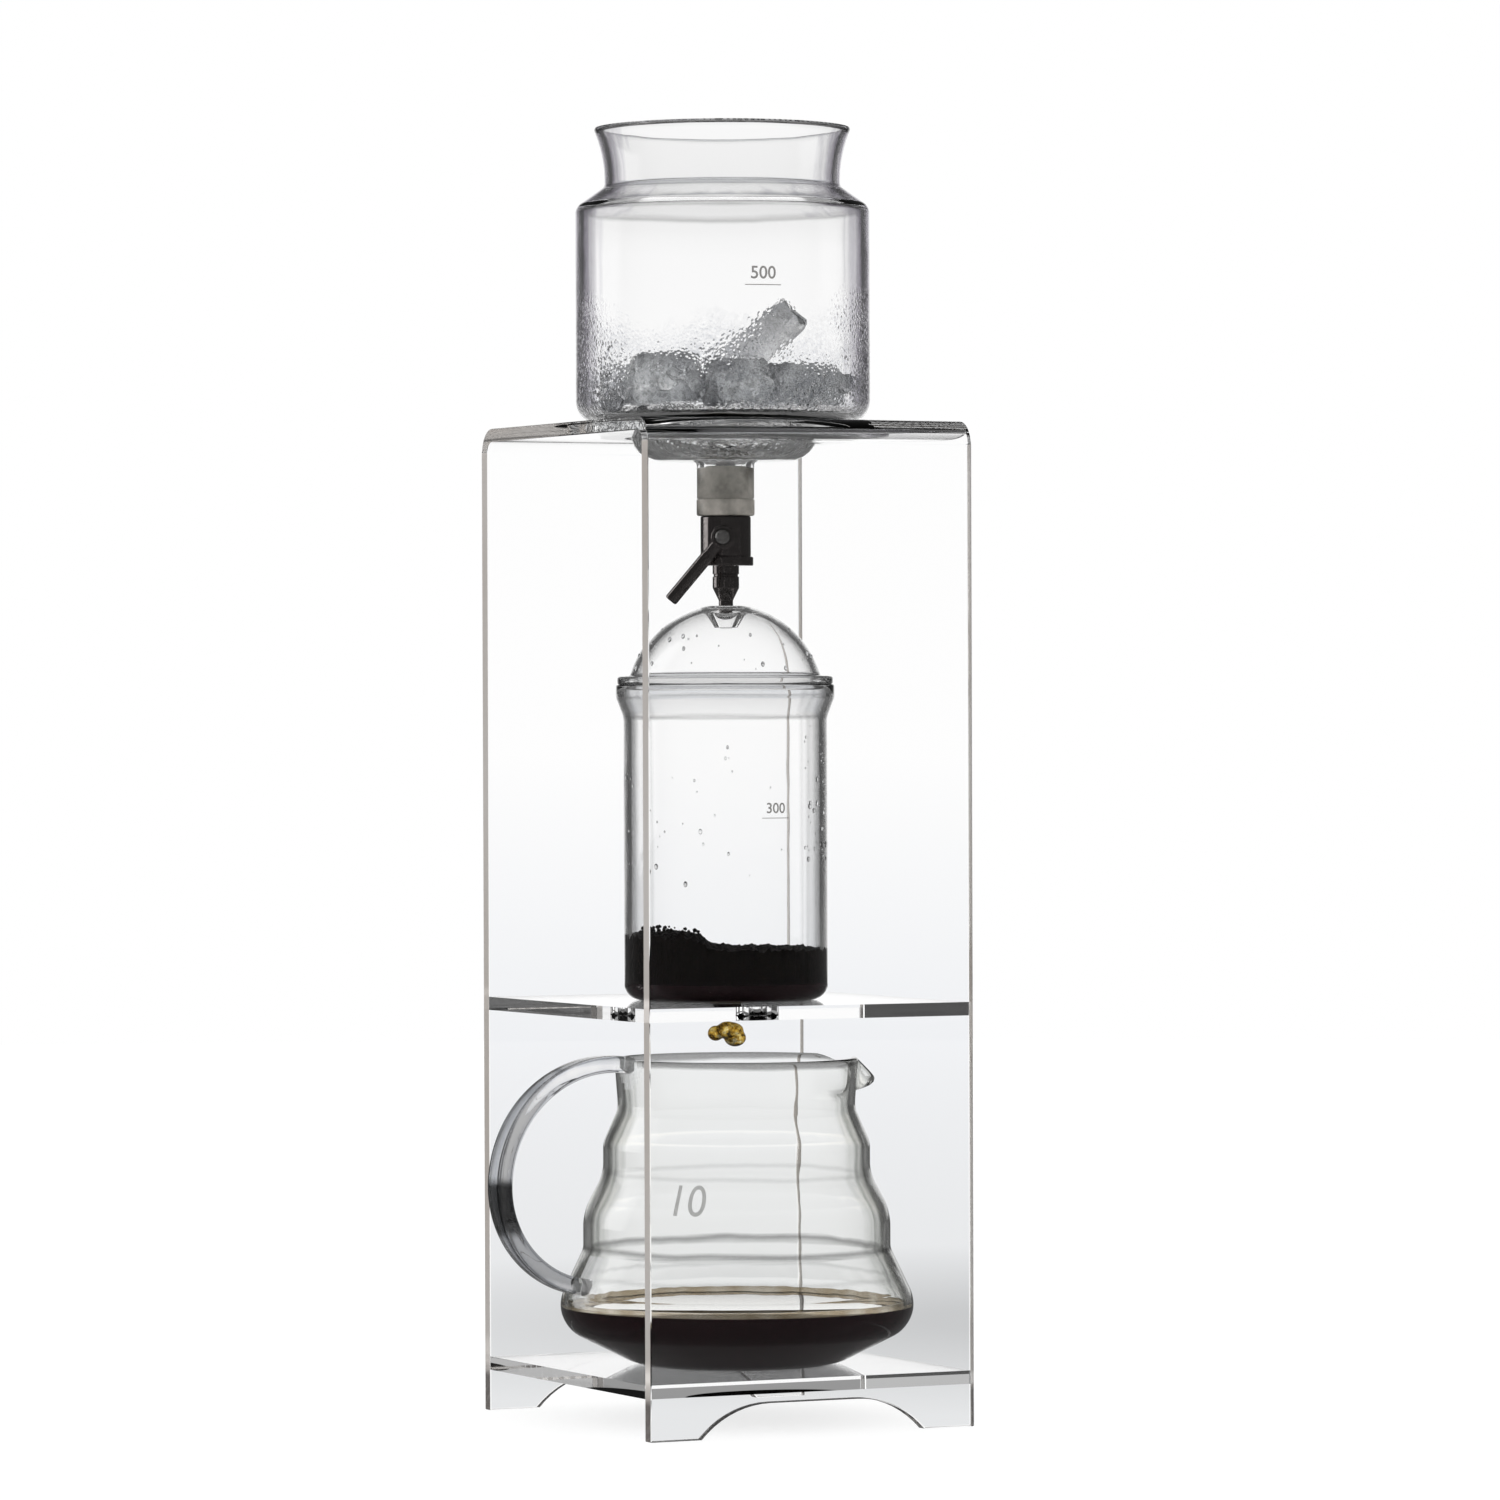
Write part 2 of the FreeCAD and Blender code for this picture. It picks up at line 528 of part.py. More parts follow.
def valve_end_cap():
    """Collar screwed into the bottom of the tap body. It carries the lower seat and the nozzle."""
    body = new_body("valve_end_cap")
    thread, depth = "nozzle_thread_radius + fit_gap", "nozzle_thread + fit_gap"
    plug, top = "seat_radius", "collar_height + tap_below - seat_far"
    revolve(body, "cap", [
        (thread, "0"), ("collar_radius", "0"), ("collar_radius", "collar_height"), (plug, "collar_height"),
        (plug, top), ("seat_bore", top), ("seat_bore", depth), (thread, depth)])
    soften(body, "cap_edges", "Chamfer", "collar_chamfer", [("collar_radius", "0"),
                                                            ("collar_radius", "collar_height")])
    return place(body, z="collar_z", turn=VALVE_TURN)


def drip_nozzle():
    """Nozzle with a conical tip, screwed into the collar."""
    body = new_body("drip_nozzle")
    cone = "nozzle_tip + nozzle_cone"
    top = "nozzle_length + nozzle_thread"
    revolve(body, "nozzle", [
        ("nozzle_bore", "0"), ("nozzle_tip_radius", "0"), ("nozzle_tip_radius", "nozzle_tip"),
        ("nozzle_radius", cone), ("nozzle_radius", "nozzle_length"),
        ("nozzle_thread_radius", "nozzle_length"), ("nozzle_thread_radius", top), ("nozzle_bore", top)])
    return place(body, z="collar_z - nozzle_length", turn=VALVE_TURN)


def cold_water():
    """The melt water in the bowl's well, down to the bung."""
    body = new_body("cold_water")
    foot, floor = "bung_plug + stem_rise + contents_gap", "spigot_length + bowl_wall + contents_gap"
    well, shelf_floor = "well_radius - bowl_wall - contents_gap", "seat + bowl_wall + contents_gap"
    edge = "bowl_radius - bowl_corner - contents_gap"
    revolve(body, "water", [
        ("0", foot), ("spigot_bore - contents_gap", foot), ("spigot_bore - contents_gap", floor),
        (well, floor, "well_round - bowl_wall"), (well, shelf_floor), (edge, shelf_floor),
        (f"{edge} + bowl_wall", "seat + water_level"), ("0", "seat + water_level")])
    return place(body, z="bowl_z")


# Each lump of ice: its size as a share of the ice's own, its middle from the bowl's axis and above
# the water in the ice's lengths and heights, and its turn about Z and tilt
ICE = [
    ((1.5, 1.1, 0.75), (0.56, 0.08, 1.205), 0, -40), ((1.08, 1.08, 1.02), (-0.88, -0.78, 0.51), 12, 0),
    ((0.92, 0.92, 0.9), (0.2, -1.34, 0.45), -14, 0), ((1.1, 0.98, 0.84), (1.12, -0.6, 0.42), 24, 0),
    ((0.8, 1, 0.86), (-1.44, 0.28, 0.43), -12, 0), ((0.96, 1, 0.95), (-0.76, 1.24, 0.475), 12, 0),
    ((0.96, 0.9, 0.9), (0.4, 1.4, 0.45), -12, 0), ((0.75, 0.9, 0.82), (1.44, 0.56, 0.41), 20, 0),
    ((0.7, 0.85, 0.6), (-0.4, 0.34, 0.3), 35, 0),
]


def ice_cubes():
    """The ice on the water, as a group of separate lumps."""
    lumps = []
    turn = about(Z_AXIS, -value("ice_turn"))
    length, height = value("ice_length"), value("ice_height")
    for number, (shares, middle, yaw, tilt) in enumerate(ICE, start=1):
        block = doc.addObject("Part::Box", f"ice_block_{number}")
        for side, share, size in zip(("Length", "Width", "Height"), shares,
                                     ("ice_length", "ice_width", "ice_height")):
            block.setExpression(side, formula(f"{size} * {share}"))
        doc.recompute()
        lump = doc.addObject("Part::Chamfer", f"ice_{number}")
        lump.Base = block
        lump.Edges = [(edge, value("ice_edge"), value("ice_edge")) for edge in range(1, 13)]
        pose = turn.multiply(about(Z_AXIS, yaw)).multiply(about(Vector(0, 1, 0), tilt))
        half = Vector(block.Length.Value, block.Width.Value, block.Height.Value) / 2
        centre = Vector(middle[0] * length, middle[1] * length, middle[2] * height)
        lump.Placement = FreeCAD.Placement(turn.multVec(centre) - pose.multVec(half), pose)
        lumps.append(lump)
    group = doc.addObject("Part::Compound", "ice_cubes")
    group.Label = "ice_cubes"
    group.Links = lumps
    doc.recompute()
    return place(group, z="stand_height + water_level + contents_gap")


def dome_lid():
    """Glass dome with a flange, a locating skirt and a funnel with a hole in its top."""
    body = new_body("dome_lid")
    tip = "funnel_top - funnel_depth"
    revolve(body, "dome", [
        ("dome_inner_foot", "0"), ("skirt_radius", "0"), ("skirt_radius", "lid_skirt"),
        ("lid_flange_radius", "lid_skirt"),
        ("lid_flange_radius", "lid_skirt + lid_flange", "lid_round"),
        ("dome_foot", "lid_skirt + lid_flange", "0", "dome_radius"), ("funnel_mouth", "funnel_top"),
        ("funnel_throat", tip), ("funnel_throat + lid_wall", tip),
        ("funnel_shoulder", "funnel_root", "0", "-dome_inner"), ("dome_inner_foot", "lid_skirt")])
    soften(body, "funnel_lip", "Fillet", "funnel_round", [("funnel_mouth", "funnel_top")])
    return place(body, z="lid_z")


def dripper_glass():
    """Cylinder with a flared rim, and an outlet tube through the shelf."""
    body = new_body("dripper_glass")
    top = "outlet_drop + dripper_height"
    revolve(body, "dripper_form", [
        ("0", "0"), ("outlet_radius", "0"), ("outlet_radius", "outlet_drop", "outlet_root_round"),
        ("dripper_radius", "outlet_drop", "dripper_base_round"),
        ("dripper_radius", f"{top} - rim_height - rim_taper", "rim_taper"),
        ("rim_radius", f"{top} - rim_height", "rim_round"), ("rim_radius", top), ("0", top)])
    hollow(body, "dripper_wall", "dripper_wall", ["0", top])
    soften(body, "dripper_lip", "Fillet", "dripper_lip_round", [(None, top)])
    soften(body, "outlet_lip", "Fillet", "outlet_lip_round", [(None, "0")])
    return place(body, z="middle_shelf_top - outlet_drop")


def filter_disc():
    """Pressed steel disc on a low rim, with rings of holes round a middle hole."""
    body = new_body("filter_disc")
    inner = "filter_radius - filter_sheet"
    revolve(body, "disc", [
        (inner, "0"), ("filter_radius", "0"), ("filter_radius", "filter_rise", "filter_sheet"),
        ("0", "filter_rise"), ("0", "filter_rise - filter_sheet"), (inner, "filter_rise - filter_sheet")])
    middle = draw_circle(new_sketch(body, "middle_hole", "XY_Plane"), "0", "0", "filter_hole")
    cut_through(body, "middle_cut", middle, back=True)
    for ring in (1, 2, 3):
        hole = new_sketch(body, f"hole_{ring}", "XY_Plane")
        draw_circle(hole, f"filter_ring_pitch * {ring}", "0", "filter_hole")
        cut = cut_through(body, f"cut_{ring}", hole, back=True)
        pattern = body.newObject("PartDesign::PolarPattern", f"ring_{ring}")
        pattern.Originals = [cut]
        pattern.Axis = (hole, ["N_Axis"])
        pattern.Angle = 360
        pattern.Occurrences = 6 * ring
        body.Tip = pattern
        doc.recompute()
    return place(body, z="dripper_floor_z")


def filter_gasket():
    """Silicone ring that fills the gap from the disc's rim to the glass."""
    body = new_body("filter_gasket")
    inner, low = "filter_radius + fit_gap", "gasket_gap"
    revolve(body, "gasket", [
        (inner, low), ("gasket_radius", low, "dripper_inner_round - gasket_gap"),
        ("gasket_radius", "gasket_height"), (inner, "gasket_height")])
    return place(body, z="dripper_floor_z")


def coffee_grounds():
    """The wet grounds, higher on one side."""
    body = new_body("coffee_grounds")
    radius, foot = "gasket_radius", "grounds_z - middle_shelf_top"
    bed = draw_circle(new_sketch(body, "bed_outline", "XY_Plane", foot), "0", "0", radius)
    pad(body, "bed", bed, f"grounds_high - ({foot})")
    hollow_side = draw_outline(new_sketch(body, "step_outline", "XZ_Plane"), [
        ("-grounds_step * 2", "grounds_low + grounds_step / 4"), (radius, "grounds_low"),
        (radius, "grounds_high + grounds_step"), ("-grounds_step * 4", "grounds_high + grounds_step")])
    cut_through(body, "step", hollow_side, both_ways=True)
    return place(body, z="middle_shelf_top", turn=about(Z_AXIS, -value("grounds_turn")))


def coffee_drop():
    """The bubbly bead of coffee that hangs at the outlet."""
    body = new_body("coffee_drop")
    revolve(body, "bead", [
        ("0", "0"), ("drop_radius", "0", "drop_height * 0.48"),
        ("drop_radius", "drop_height", "drop_height * 0.48"), ("0", "drop_height")])
    return place(body, z="middle_shelf_top - outlet_drop - contents_gap - drop_height")


def vessel_outline():
    """The carafe's outer form, from the middle of its base to the middle of its mouth."""
    return [
        ("0", "0"), ("carafe_base_radius", "0", "carafe_base_round"),
        ("carafe_radius", "belly_foot", "belly_foot_round"),
        ("carafe_radius", "belly_top", "belly_top_round"),
        ("low_waist_radius", "low_waist_foot", "low_waist_round"),
        ("low_waist_radius", "low_waist_top", "low_wave_round"),
        ("mid_waist_radius", "mid_waist_foot", "mid_waist_round"),
        ("mid_waist_radius", "mid_waist_top", "mid_wave_round"),
        ("carafe_neck_radius", "carafe_neck_height", "carafe_neck_round"),
        ("carafe_lip_radius", "carafe_height"), ("0", "carafe_height")]


def combine(kind, name, base, tool):
    """A boolean of two shapes, such as Part::Cut or Part::Fuse."""
    result = doc.addObject(kind, name)
    result.Base, result.Tool = base, tool
    doc.recompute()
    return result


def spout_cone(name, inset):
    """Cone along the spout, its surface moved inwards by inset."""
    cone = doc.addObject("Part::Cone", name)
    radius = f"spout_tip_radius - ({inset}) / cos(spout_angle)"
    cone.setExpression("Radius1", formula(f"{radius} + spout_length * tan(spout_angle)"))
    cone.setExpression("Radius2", formula(radius))
    cone.setExpression("Height", formula("spout_length"))
    back = "spout_reach - spout_length * cos(spout_dip)"
    return place(cone, x=back, z="tip_height + spout_length * sin(spout_dip)",
                 turn=about(Vector(0, 1, 0), 90 + value("spout_dip")))


def carafe():
    """Wavy vessel with a half-cone spout pulled out of its rim."""
    vessel = new_body("vessel")
    revolve(vessel, "vessel_form", vessel_outline())
    hollow(vessel, "carafe_wall", "carafe_wall", ["carafe_height"])
    soften(vessel, "carafe_lip", "Fillet", "carafe_lip_round", [(None, "carafe_height")])
    filled = new_body("filled_vessel")
    revolve(filled, "filled_form", vessel_outline())
    trim = new_body("spout_trim")
    above = draw_outline(new_sketch(trim, "spout_top", "XZ_Plane"), [
        ("0", "carafe_height"), ("carafe_lip_radius", "carafe_height"),
        ("spout_reach", "tip_height"), ("spout_reach * 2", "tip_height"),
        ("spout_reach * 2", "carafe_height * 2"), ("0", "carafe_height * 2")])
    pad(trim, "trim_block", above, "carafe_radius * 2", side="Symmetric")
    spout = combine("Part::Cut", "spout", spout_cone("spout_outside", "0"), filled)
    joined = combine("Part::Fuse", "vessel_with_spout", vessel, spout)
    opened = combine("Part::Cut", "open_spout", joined, spout_cone("spout_inside", "spout_wall"))
    whole = combine("Part::Cut", "carafe", opened, trim)
    whole.Label = "carafe"
    return place(whole, x="carafe_x", z="base_shelf_top")


def carafe_handle():
    """Glass strap along two arcs, trimmed to the vessel's own outer form where it is fused on."""
    body = new_body("carafe_handle")
    half_x, half_y = "handle_thickness / 2", "handle_width / 2"
    arcs = (("upper", "handle_upper_arc", "handle_upper_sweep", False),
            ("lower", "handle_lower_arc", "handle_lower_sweep", True))
    for name, arc, sweep, back in arcs:
        strap = new_sketch(body, f"{name}_section", "XY_Plane", "handle_height")
        draw_outline(strap, [
            (f"handle_reach - {half_x}", f"-({half_y})", "handle_edge"),
            (f"handle_reach + {half_x}", f"-({half_y})", "handle_edge"),
            (f"handle_reach + {half_x}", half_y, "handle_edge"),
            (f"handle_reach - {half_x}", half_y, "handle_edge")])
        middle = value(f"handle_reach - {arc}")
        reach = value(half_y)
        axis = strap.addGeometry(
            Part.LineSegment(Vector(middle, -reach, 0), Vector(middle, reach, 0)), True)
        fix_point(strap, axis, 1, f"handle_reach - {arc}", f"-({half_y})")
        fix_point(strap, axis, 2, f"handle_reach - {arc}", half_y)
        bend = body.newObject("PartDesign::Revolution", f"{name}_arc")
        bend.Profile = strap
        bend.ReferenceAxis = (strap, ["Axis0"])
        bend.Reversed = back
        bend.setExpression("Angle", formula(sweep))
        doc.recompute()
    revolve(body, "vessel_seat", vessel_outline(), "PartDesign::Groove")
    return place(body, x="carafe_x", z="base_shelf_top", turn=about(Z_AXIS, 180))


def brewed_coffee():
    """The coffee in the carafe, parallel to the inside of its wall."""
    body = new_body("brewed_coffee")
    edge = "carafe_radius - coffee_inset"
    revolve(body, "coffee", [
        ("0", "coffee_inset"),
        ("carafe_base_radius - coffee_inset * half_slope", "coffee_inset",
         "carafe_base_round - coffee_inset"),
        (edge, "belly_foot + coffee_inset * (sqrt(1 + belly_slope ^ 2) - belly_slope)",
         "belly_foot_round - coffee_inset"),
        (edge, "coffee_level"), ("0", "coffee_level")])
    return place(body, x="carafe_x", z="base_shelf_top")


NODES = [
    stand_frame(), shelf("middle_shelf", "middle_shelf_top", hole="outlet_hole"),
    shelf("base_shelf", "base_shelf_top"), water_bowl(), bowl_stopper(), valve_inlet_stem(),
    valve_body(), valve_seats(), valve_ball(), valve_spindle(), spindle_o_ring(), valve_lever(),
    lever_screw(), valve_end_cap(), drip_nozzle(), cold_water(), ice_cubes(), dome_lid(),
    dripper_glass(), filter_disc(), filter_gasket(), coffee_grounds(), coffee_drop(), carafe(),
    carafe_handle(), brewed_coffee(),
]
doc.recompute()
for thing in doc.Objects:
    if {"Invalid", "Error"} & set(thing.State):
        raise RuntimeError(f"{thing.Label} failed: {thing.State}")
os.makedirs("parts", exist_ok=True)
for thing in NODES:
    if thing.Shape.isNull() or not thing.Shape.isValid():
        raise RuntimeError(f"{thing.Label} has no valid shape")
    thing.Shape.exportStep(f"parts/{thing.Label}.step")
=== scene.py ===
import math
import random

import bmesh
import bpy
from mathutils import Matrix, Vector, noise
from mathutils.bvhtree import BVHTree


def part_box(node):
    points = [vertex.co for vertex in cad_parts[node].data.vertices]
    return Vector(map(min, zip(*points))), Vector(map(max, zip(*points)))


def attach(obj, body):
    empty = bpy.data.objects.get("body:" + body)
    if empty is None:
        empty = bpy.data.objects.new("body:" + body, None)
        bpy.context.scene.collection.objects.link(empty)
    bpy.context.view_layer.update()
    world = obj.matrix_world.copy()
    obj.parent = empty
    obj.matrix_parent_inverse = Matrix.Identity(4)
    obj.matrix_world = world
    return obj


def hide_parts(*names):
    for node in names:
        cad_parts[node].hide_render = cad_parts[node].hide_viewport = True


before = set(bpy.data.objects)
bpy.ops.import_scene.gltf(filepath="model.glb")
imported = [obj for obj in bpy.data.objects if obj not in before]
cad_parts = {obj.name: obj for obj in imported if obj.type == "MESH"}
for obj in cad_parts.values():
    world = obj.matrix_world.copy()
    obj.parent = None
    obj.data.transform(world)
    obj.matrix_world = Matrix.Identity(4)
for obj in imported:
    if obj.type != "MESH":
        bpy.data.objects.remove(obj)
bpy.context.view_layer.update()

# Cold drip coffee tower. Pieces are drawn in millimetres about their own axis, and finished() writes
# them in metres at their place in the frame.

MM = 0.001
FULL_TURN = 2 * math.pi


def corner(node, end, axis):
    """One coordinate of a node's box, in millimetres: end 0 is its lowest corner and 1 its highest."""
    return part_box(node)[end][axis] / MM


def foot_of(node):
    return corner(node, 0, 2)


def top_of(node):
    return corner(node, 1, 2)


def middle_x(node):
    return (corner(node, 0, 0) + corner(node, 1, 0)) / 2


# Places, read from the frame
TOWER_X = middle_x("water_bowl")
CARAFE_X = middle_x("brewed_coffee")
SPAN_HALF = corner("stand_frame", 1, 1)
SHEET = top_of("middle_shelf") - foot_of("middle_shelf")
PLATE_TOP = top_of("stand_frame")
BASE_SHELF_TOP = top_of("base_shelf")
BOWL_FOOT = foot_of("water_bowl")
DRIPPER_FOOT = foot_of("dripper_glass")
LID_FOOT = foot_of("dome_lid")
TAP_TOP = top_of("valve_body")
BALL_Z = 331
BEND = 9

# Water bowl, heights above the spigot's end
BOWL_WALL = 3
BOWL_LIP = 1.2
SPIGOT_RADIUS = 10.8
SPIGOT_LENGTH = 14.5
WELL_RADIUS = 35
WELL_ROUND = 11
SEAT = PLATE_TOP - BOWL_FOOT
BOWL_RADIUS = 55.3
BOWL_CORNER = 9
BOWL_SHOULDER = SEAT + 81.8
BOWL_NECK_RADIUS = 44.3
BOWL_NECK = SEAT + 89.5
BOWL_FLARE = SEAT + 101.6
BOWL_LIP_RADIUS = 48.5
BOWL_TOP = SEAT + 111.5
SMALL_ICE_BITS = 90

# The way that settles which of an ice block's equal faces comes first, and the ends of each block's
# axes that its dents are drawn from, the largest block first
UP_AND_FRONT = Vector((-0.44, -0.90, 0.3))
DENT_ENDS = ((1, 1), (1, 1), (1, -1), (1, 1), (-1, 1), (-1, -1), (-1, 1), (1, 1), (1, 1))

# Dome lid, heights above its skirt's foot
LID_SKIRT = 2.5
LID_FLANGE = 3
LID_FLANGE_RADIUS = 40.2
SKIRT_RADIUS = 37.5
LID_WALL = 2.2
DOME_RADIUS = 36.8
DOME_DROP = 6.7
FUNNEL_MOUTH = 5.6
FUNNEL_THROAT = 2
FUNNEL_DEPTH = 8.5

# Dripper, heights above its outlet's end
DRIPPER_WALL = 2.8
OUTLET_RADIUS = 5.15
OUTLET_DROP = 8
DRIPPER_RADIUS = 37.9
RIM_RADIUS = 40.7
RIM_HEIGHT = 5
RIM_TAPER = 7.5
DRIPPER_TOP = OUTLET_DROP + 118.5
CRUMBS = 70

# Carafe, heights above the base shelf
CARAFE_WALL = 2.4
CARAFE_HEIGHT = 115
CARAFE_BASE = 37.6
CARAFE_BASE_ROUND = 20
BELLY_RADIUS = 66
BELLY_FOOT = 14.4
BELLY_ROUND = 12
NECK_RADIUS = 44.2
NECK_HEIGHT = 96
LIP_RADIUS = 45.5
LIP_ROWS = 8
SPOUT_START = NECK_HEIGHT + 1.5
SPOUT_REACH = 57.8
SPOUT_DROP = 8.8
SPOUT_WIDTH = math.radians(22)
HANDLE_REACH = 97.2
HANDLE_HEIGHT = 69
HANDLE_UPPER = 44.8
HANDLE_LOWER = 38.4
HANDLE_THICK = 6.3
HANDLE_WIDE = 12.5
HANDLE_ROOTS = (Vector((-43.5, 0, 112.9)), Vector((-61.8, 0, 30.7)))
ROOT_REACH = 8.5

# Bung and tap
BUNG_RADIUS = 10.9
STEM_RADIUS = 3.6
TAP_RADIUS = 9.5
CAP_RADIUS = 10.4
CAP_THREAD = 6.45
NOZZLE_RADIUS = 5
NOZZLE_BORE = 1.2
HUB_START = 10
HUB_END = 16
HUB_BORE = 1.95
ROD_RADIUS = 2.5
VALVE_TURN = math.radians(-30)
LEVER_DROP = math.radians(50)
LEVER_LENGTH = 31

# How far a liquid reaches into the wall that holds it, so that no film of air shows between them
WETTING = 0.06


# ---- drawing

def round_off(bm, parts, size, steps, kind="EDGES", clamp=False):
    bmesh.ops.bevel(bm, geom=parts, offset=size, offset_type="OFFSET", segments=steps, profile=0.5,
                    affect=kind, clamp_overlap=clamp, material=-1)


def rounded_profile(bm, corners, closed=False, arc_steps=6):
    """Draw a chain of (radius, height) or (radius, height, round) corners and round them."""
    verts = [bm.verts.new((spot[0], 0, spot[1])) for spot in corners]
    for first, second in zip(verts, verts[1:] + (verts[:1] if closed else [])):
        bm.edges.new((first, second))
    for i, spot in enumerate(corners):
        if len(spot) < 3:
            continue
        before = Vector(spot[:2]) - Vector(corners[i - 1][:2])
        after = Vector(corners[(i + 1) % len(corners)][:2]) - Vector(spot[:2])
        round_off(bm, [verts[i]], spot[2] * math.tan(before.angle(after) / 2), arc_steps, "VERTICES")


def arc(centre, radius, start, end, steps):
    """Points of an arc in the profile's plane, from one angle to another."""
    angles = [start + (end - start) * i / steps for i in range(steps + 1)]
    return [(centre[0] + radius * math.cos(a), centre[1] + radius * math.sin(a)) for a in angles]


def turned(corners, steps=96, closed=False, arc_steps=6):
    """A turned form, its faces outwards as judged by the one furthest from the axis. An outline that
    ends on the axis or is closed makes a solid."""
    bm = bmesh.new()
    rounded_profile(bm, corners, closed, arc_steps)
    bmesh.ops.spin(bm, geom=bm.verts[:] + bm.edges[:], cent=(0, 0, 0), axis=(0, 0, 1), dvec=(0, 0, 0),
                   angle=FULL_TURN, steps=steps, use_merge=True, use_duplicate=False)
    bmesh.ops.remove_doubles(bm, verts=bm.verts[:], dist=0.001)
    bmesh.ops.recalc_face_normals(bm, faces=bm.faces[:])
    outer = max(bm.faces, key=lambda face: face.calc_center_median().xy.length)
    if outer.normal.xy.dot(outer.calc_center_median().xy) < 0:
        bmesh.ops.reverse_faces(bm, faces=bm.faces[:])
    return bm


def open_edges(bm):
    return [edge for edge in bm.edges if edge.is_boundary]


def close_up(bm):
    """Close what is open and make the faces point outwards."""
    bmesh.ops.holes_fill(bm, edges=open_edges(bm), sides=0)
    bmesh.ops.recalc_face_normals(bm, faces=bm.faces[:])


def add_wall(bm, thickness):
    """Give an open skin a wall on its inner side."""
    bmesh.ops.solidify(bm, geom=bm.faces[:], thickness=thickness)


def sharp_edges(bm, degrees, chosen=None):
    """The edges where two faces meet at more than this angle."""
    limit = math.radians(degrees)
    return [edge for edge in bm.edges
            if len(edge.link_faces) == 2 and edge.calc_face_angle(0) > limit
            and (chosen is None or chosen(edge))]


def ease_edges(bm, size, degrees=40, steps=2, chosen=None):
    """Round the edges that are sharper than this angle."""
    round_off(bm, sharp_edges(bm, degrees, chosen), size, steps, clamp=True)


def level_off(bm, height):
    """Press down what stands above a height."""
    for vert in bm.verts:
        vert.co.z = min(vert.co.z, height)


def near_height(height, reach):
    return lambda edge: all(abs(vert.co.z - height) < reach for vert in edge.verts)


def worn_box(size, wear, steps):
    """A box with its edges rounded by a share of its smallest side."""
    bm = bmesh.new()
    bmesh.ops.create_cube(bm, size=1)
    bmesh.ops.scale(bm, vec=size, verts=bm.verts)
    round_off(bm, bm.edges[:], min(size) * wear, steps)
    return bm


def round_drop(radius, stretch, middle, subdivisions):
    """A ball, stretched along the axes and moved."""
    bm = bmesh.new()
    bmesh.ops.create_icosphere(bm, subdivisions=subdivisions, radius=radius)
    bmesh.ops.scale(bm, vec=stretch, verts=bm.verts)
    bmesh.ops.translate(bm, vec=middle, verts=bm.verts)
    return bm


def node_copy(node, flat_angle=1):
    """A welded copy of a CAD node's mesh in millimetres, its flat faces made whole."""
    bm = bmesh.new()
    bm.from_mesh(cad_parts[node].data)
    bmesh.ops.transform(bm, matrix=Matrix.Scale(1 / MM, 4), verts=bm.verts)
    bmesh.ops.remove_doubles(bm, verts=bm.verts[:], dist=0.002)
    bmesh.ops.dissolve_limit(bm, angle_limit=math.radians(flat_angle), verts=bm.verts[:],
                             edges=bm.edges[:])
    return bm


def cut_across(bm, place, way):
    """Cut all faces that a plane crosses."""
    bmesh.ops.bisect_plane(bm, geom=bm.verts[:] + bm.edges[:] + bm.faces[:], plane_co=place,
                           plane_no=way)


def is_plane(face):
    """Whether a face is one of a sheet's large flat sides."""
    return face.calc_area() > 60 * MM ** 2 and max(abs(part) for part in face.normal) > 0.9999


def as_mesh(name, bm):
    """Write a form as a mesh and let the form go."""
    mesh = bpy.data.meshes.new(name)
    bm.to_mesh(mesh)
    bm.free()
    return mesh


def in_scene(name, data):
    thing = bpy.data.objects.new(name, data)
    bpy.context.scene.collection.objects.link(thing)
    return thing


def append_form(whole, part):
    """Add one form's mesh to another's."""
    mesh = as_mesh("part", part)
    whole.from_mesh(mesh)
    bpy.data.meshes.remove(mesh)


def finished(name, bm, body, materials, stands_for=(), at=(0, 0, 0), turn=None, crease=50,
             flat=False):
    """Write a form as a piece in metres, smooth apart from its creases, on the body it rides with."""
    place = Matrix.Translation(Vector(at) * MM)
    if turn is not None:
        place = place @ turn.to_4x4()
    bmesh.ops.transform(bm, matrix=place @ Matrix.Scale(MM, 4), verts=bm.verts)
    for face in bm.faces:
        face.smooth = not (flat and is_plane(face))
    for edge in sharp_edges(bm, crease):
        edge.smooth = False
    mesh = as_mesh(name, bm)
    for material in materials:
        mesh.materials.append(material)
    piece = in_scene(name, mesh)
    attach(piece, body)
    if stands_for:
        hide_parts(*stands_for)
    return piece


# ---- materials

def rgba(colour):
    """A colour, or a grey given as one number, at full cover."""
    return (*colour, 1) if isinstance(colour, tuple) else (colour, colour, colour, 1)


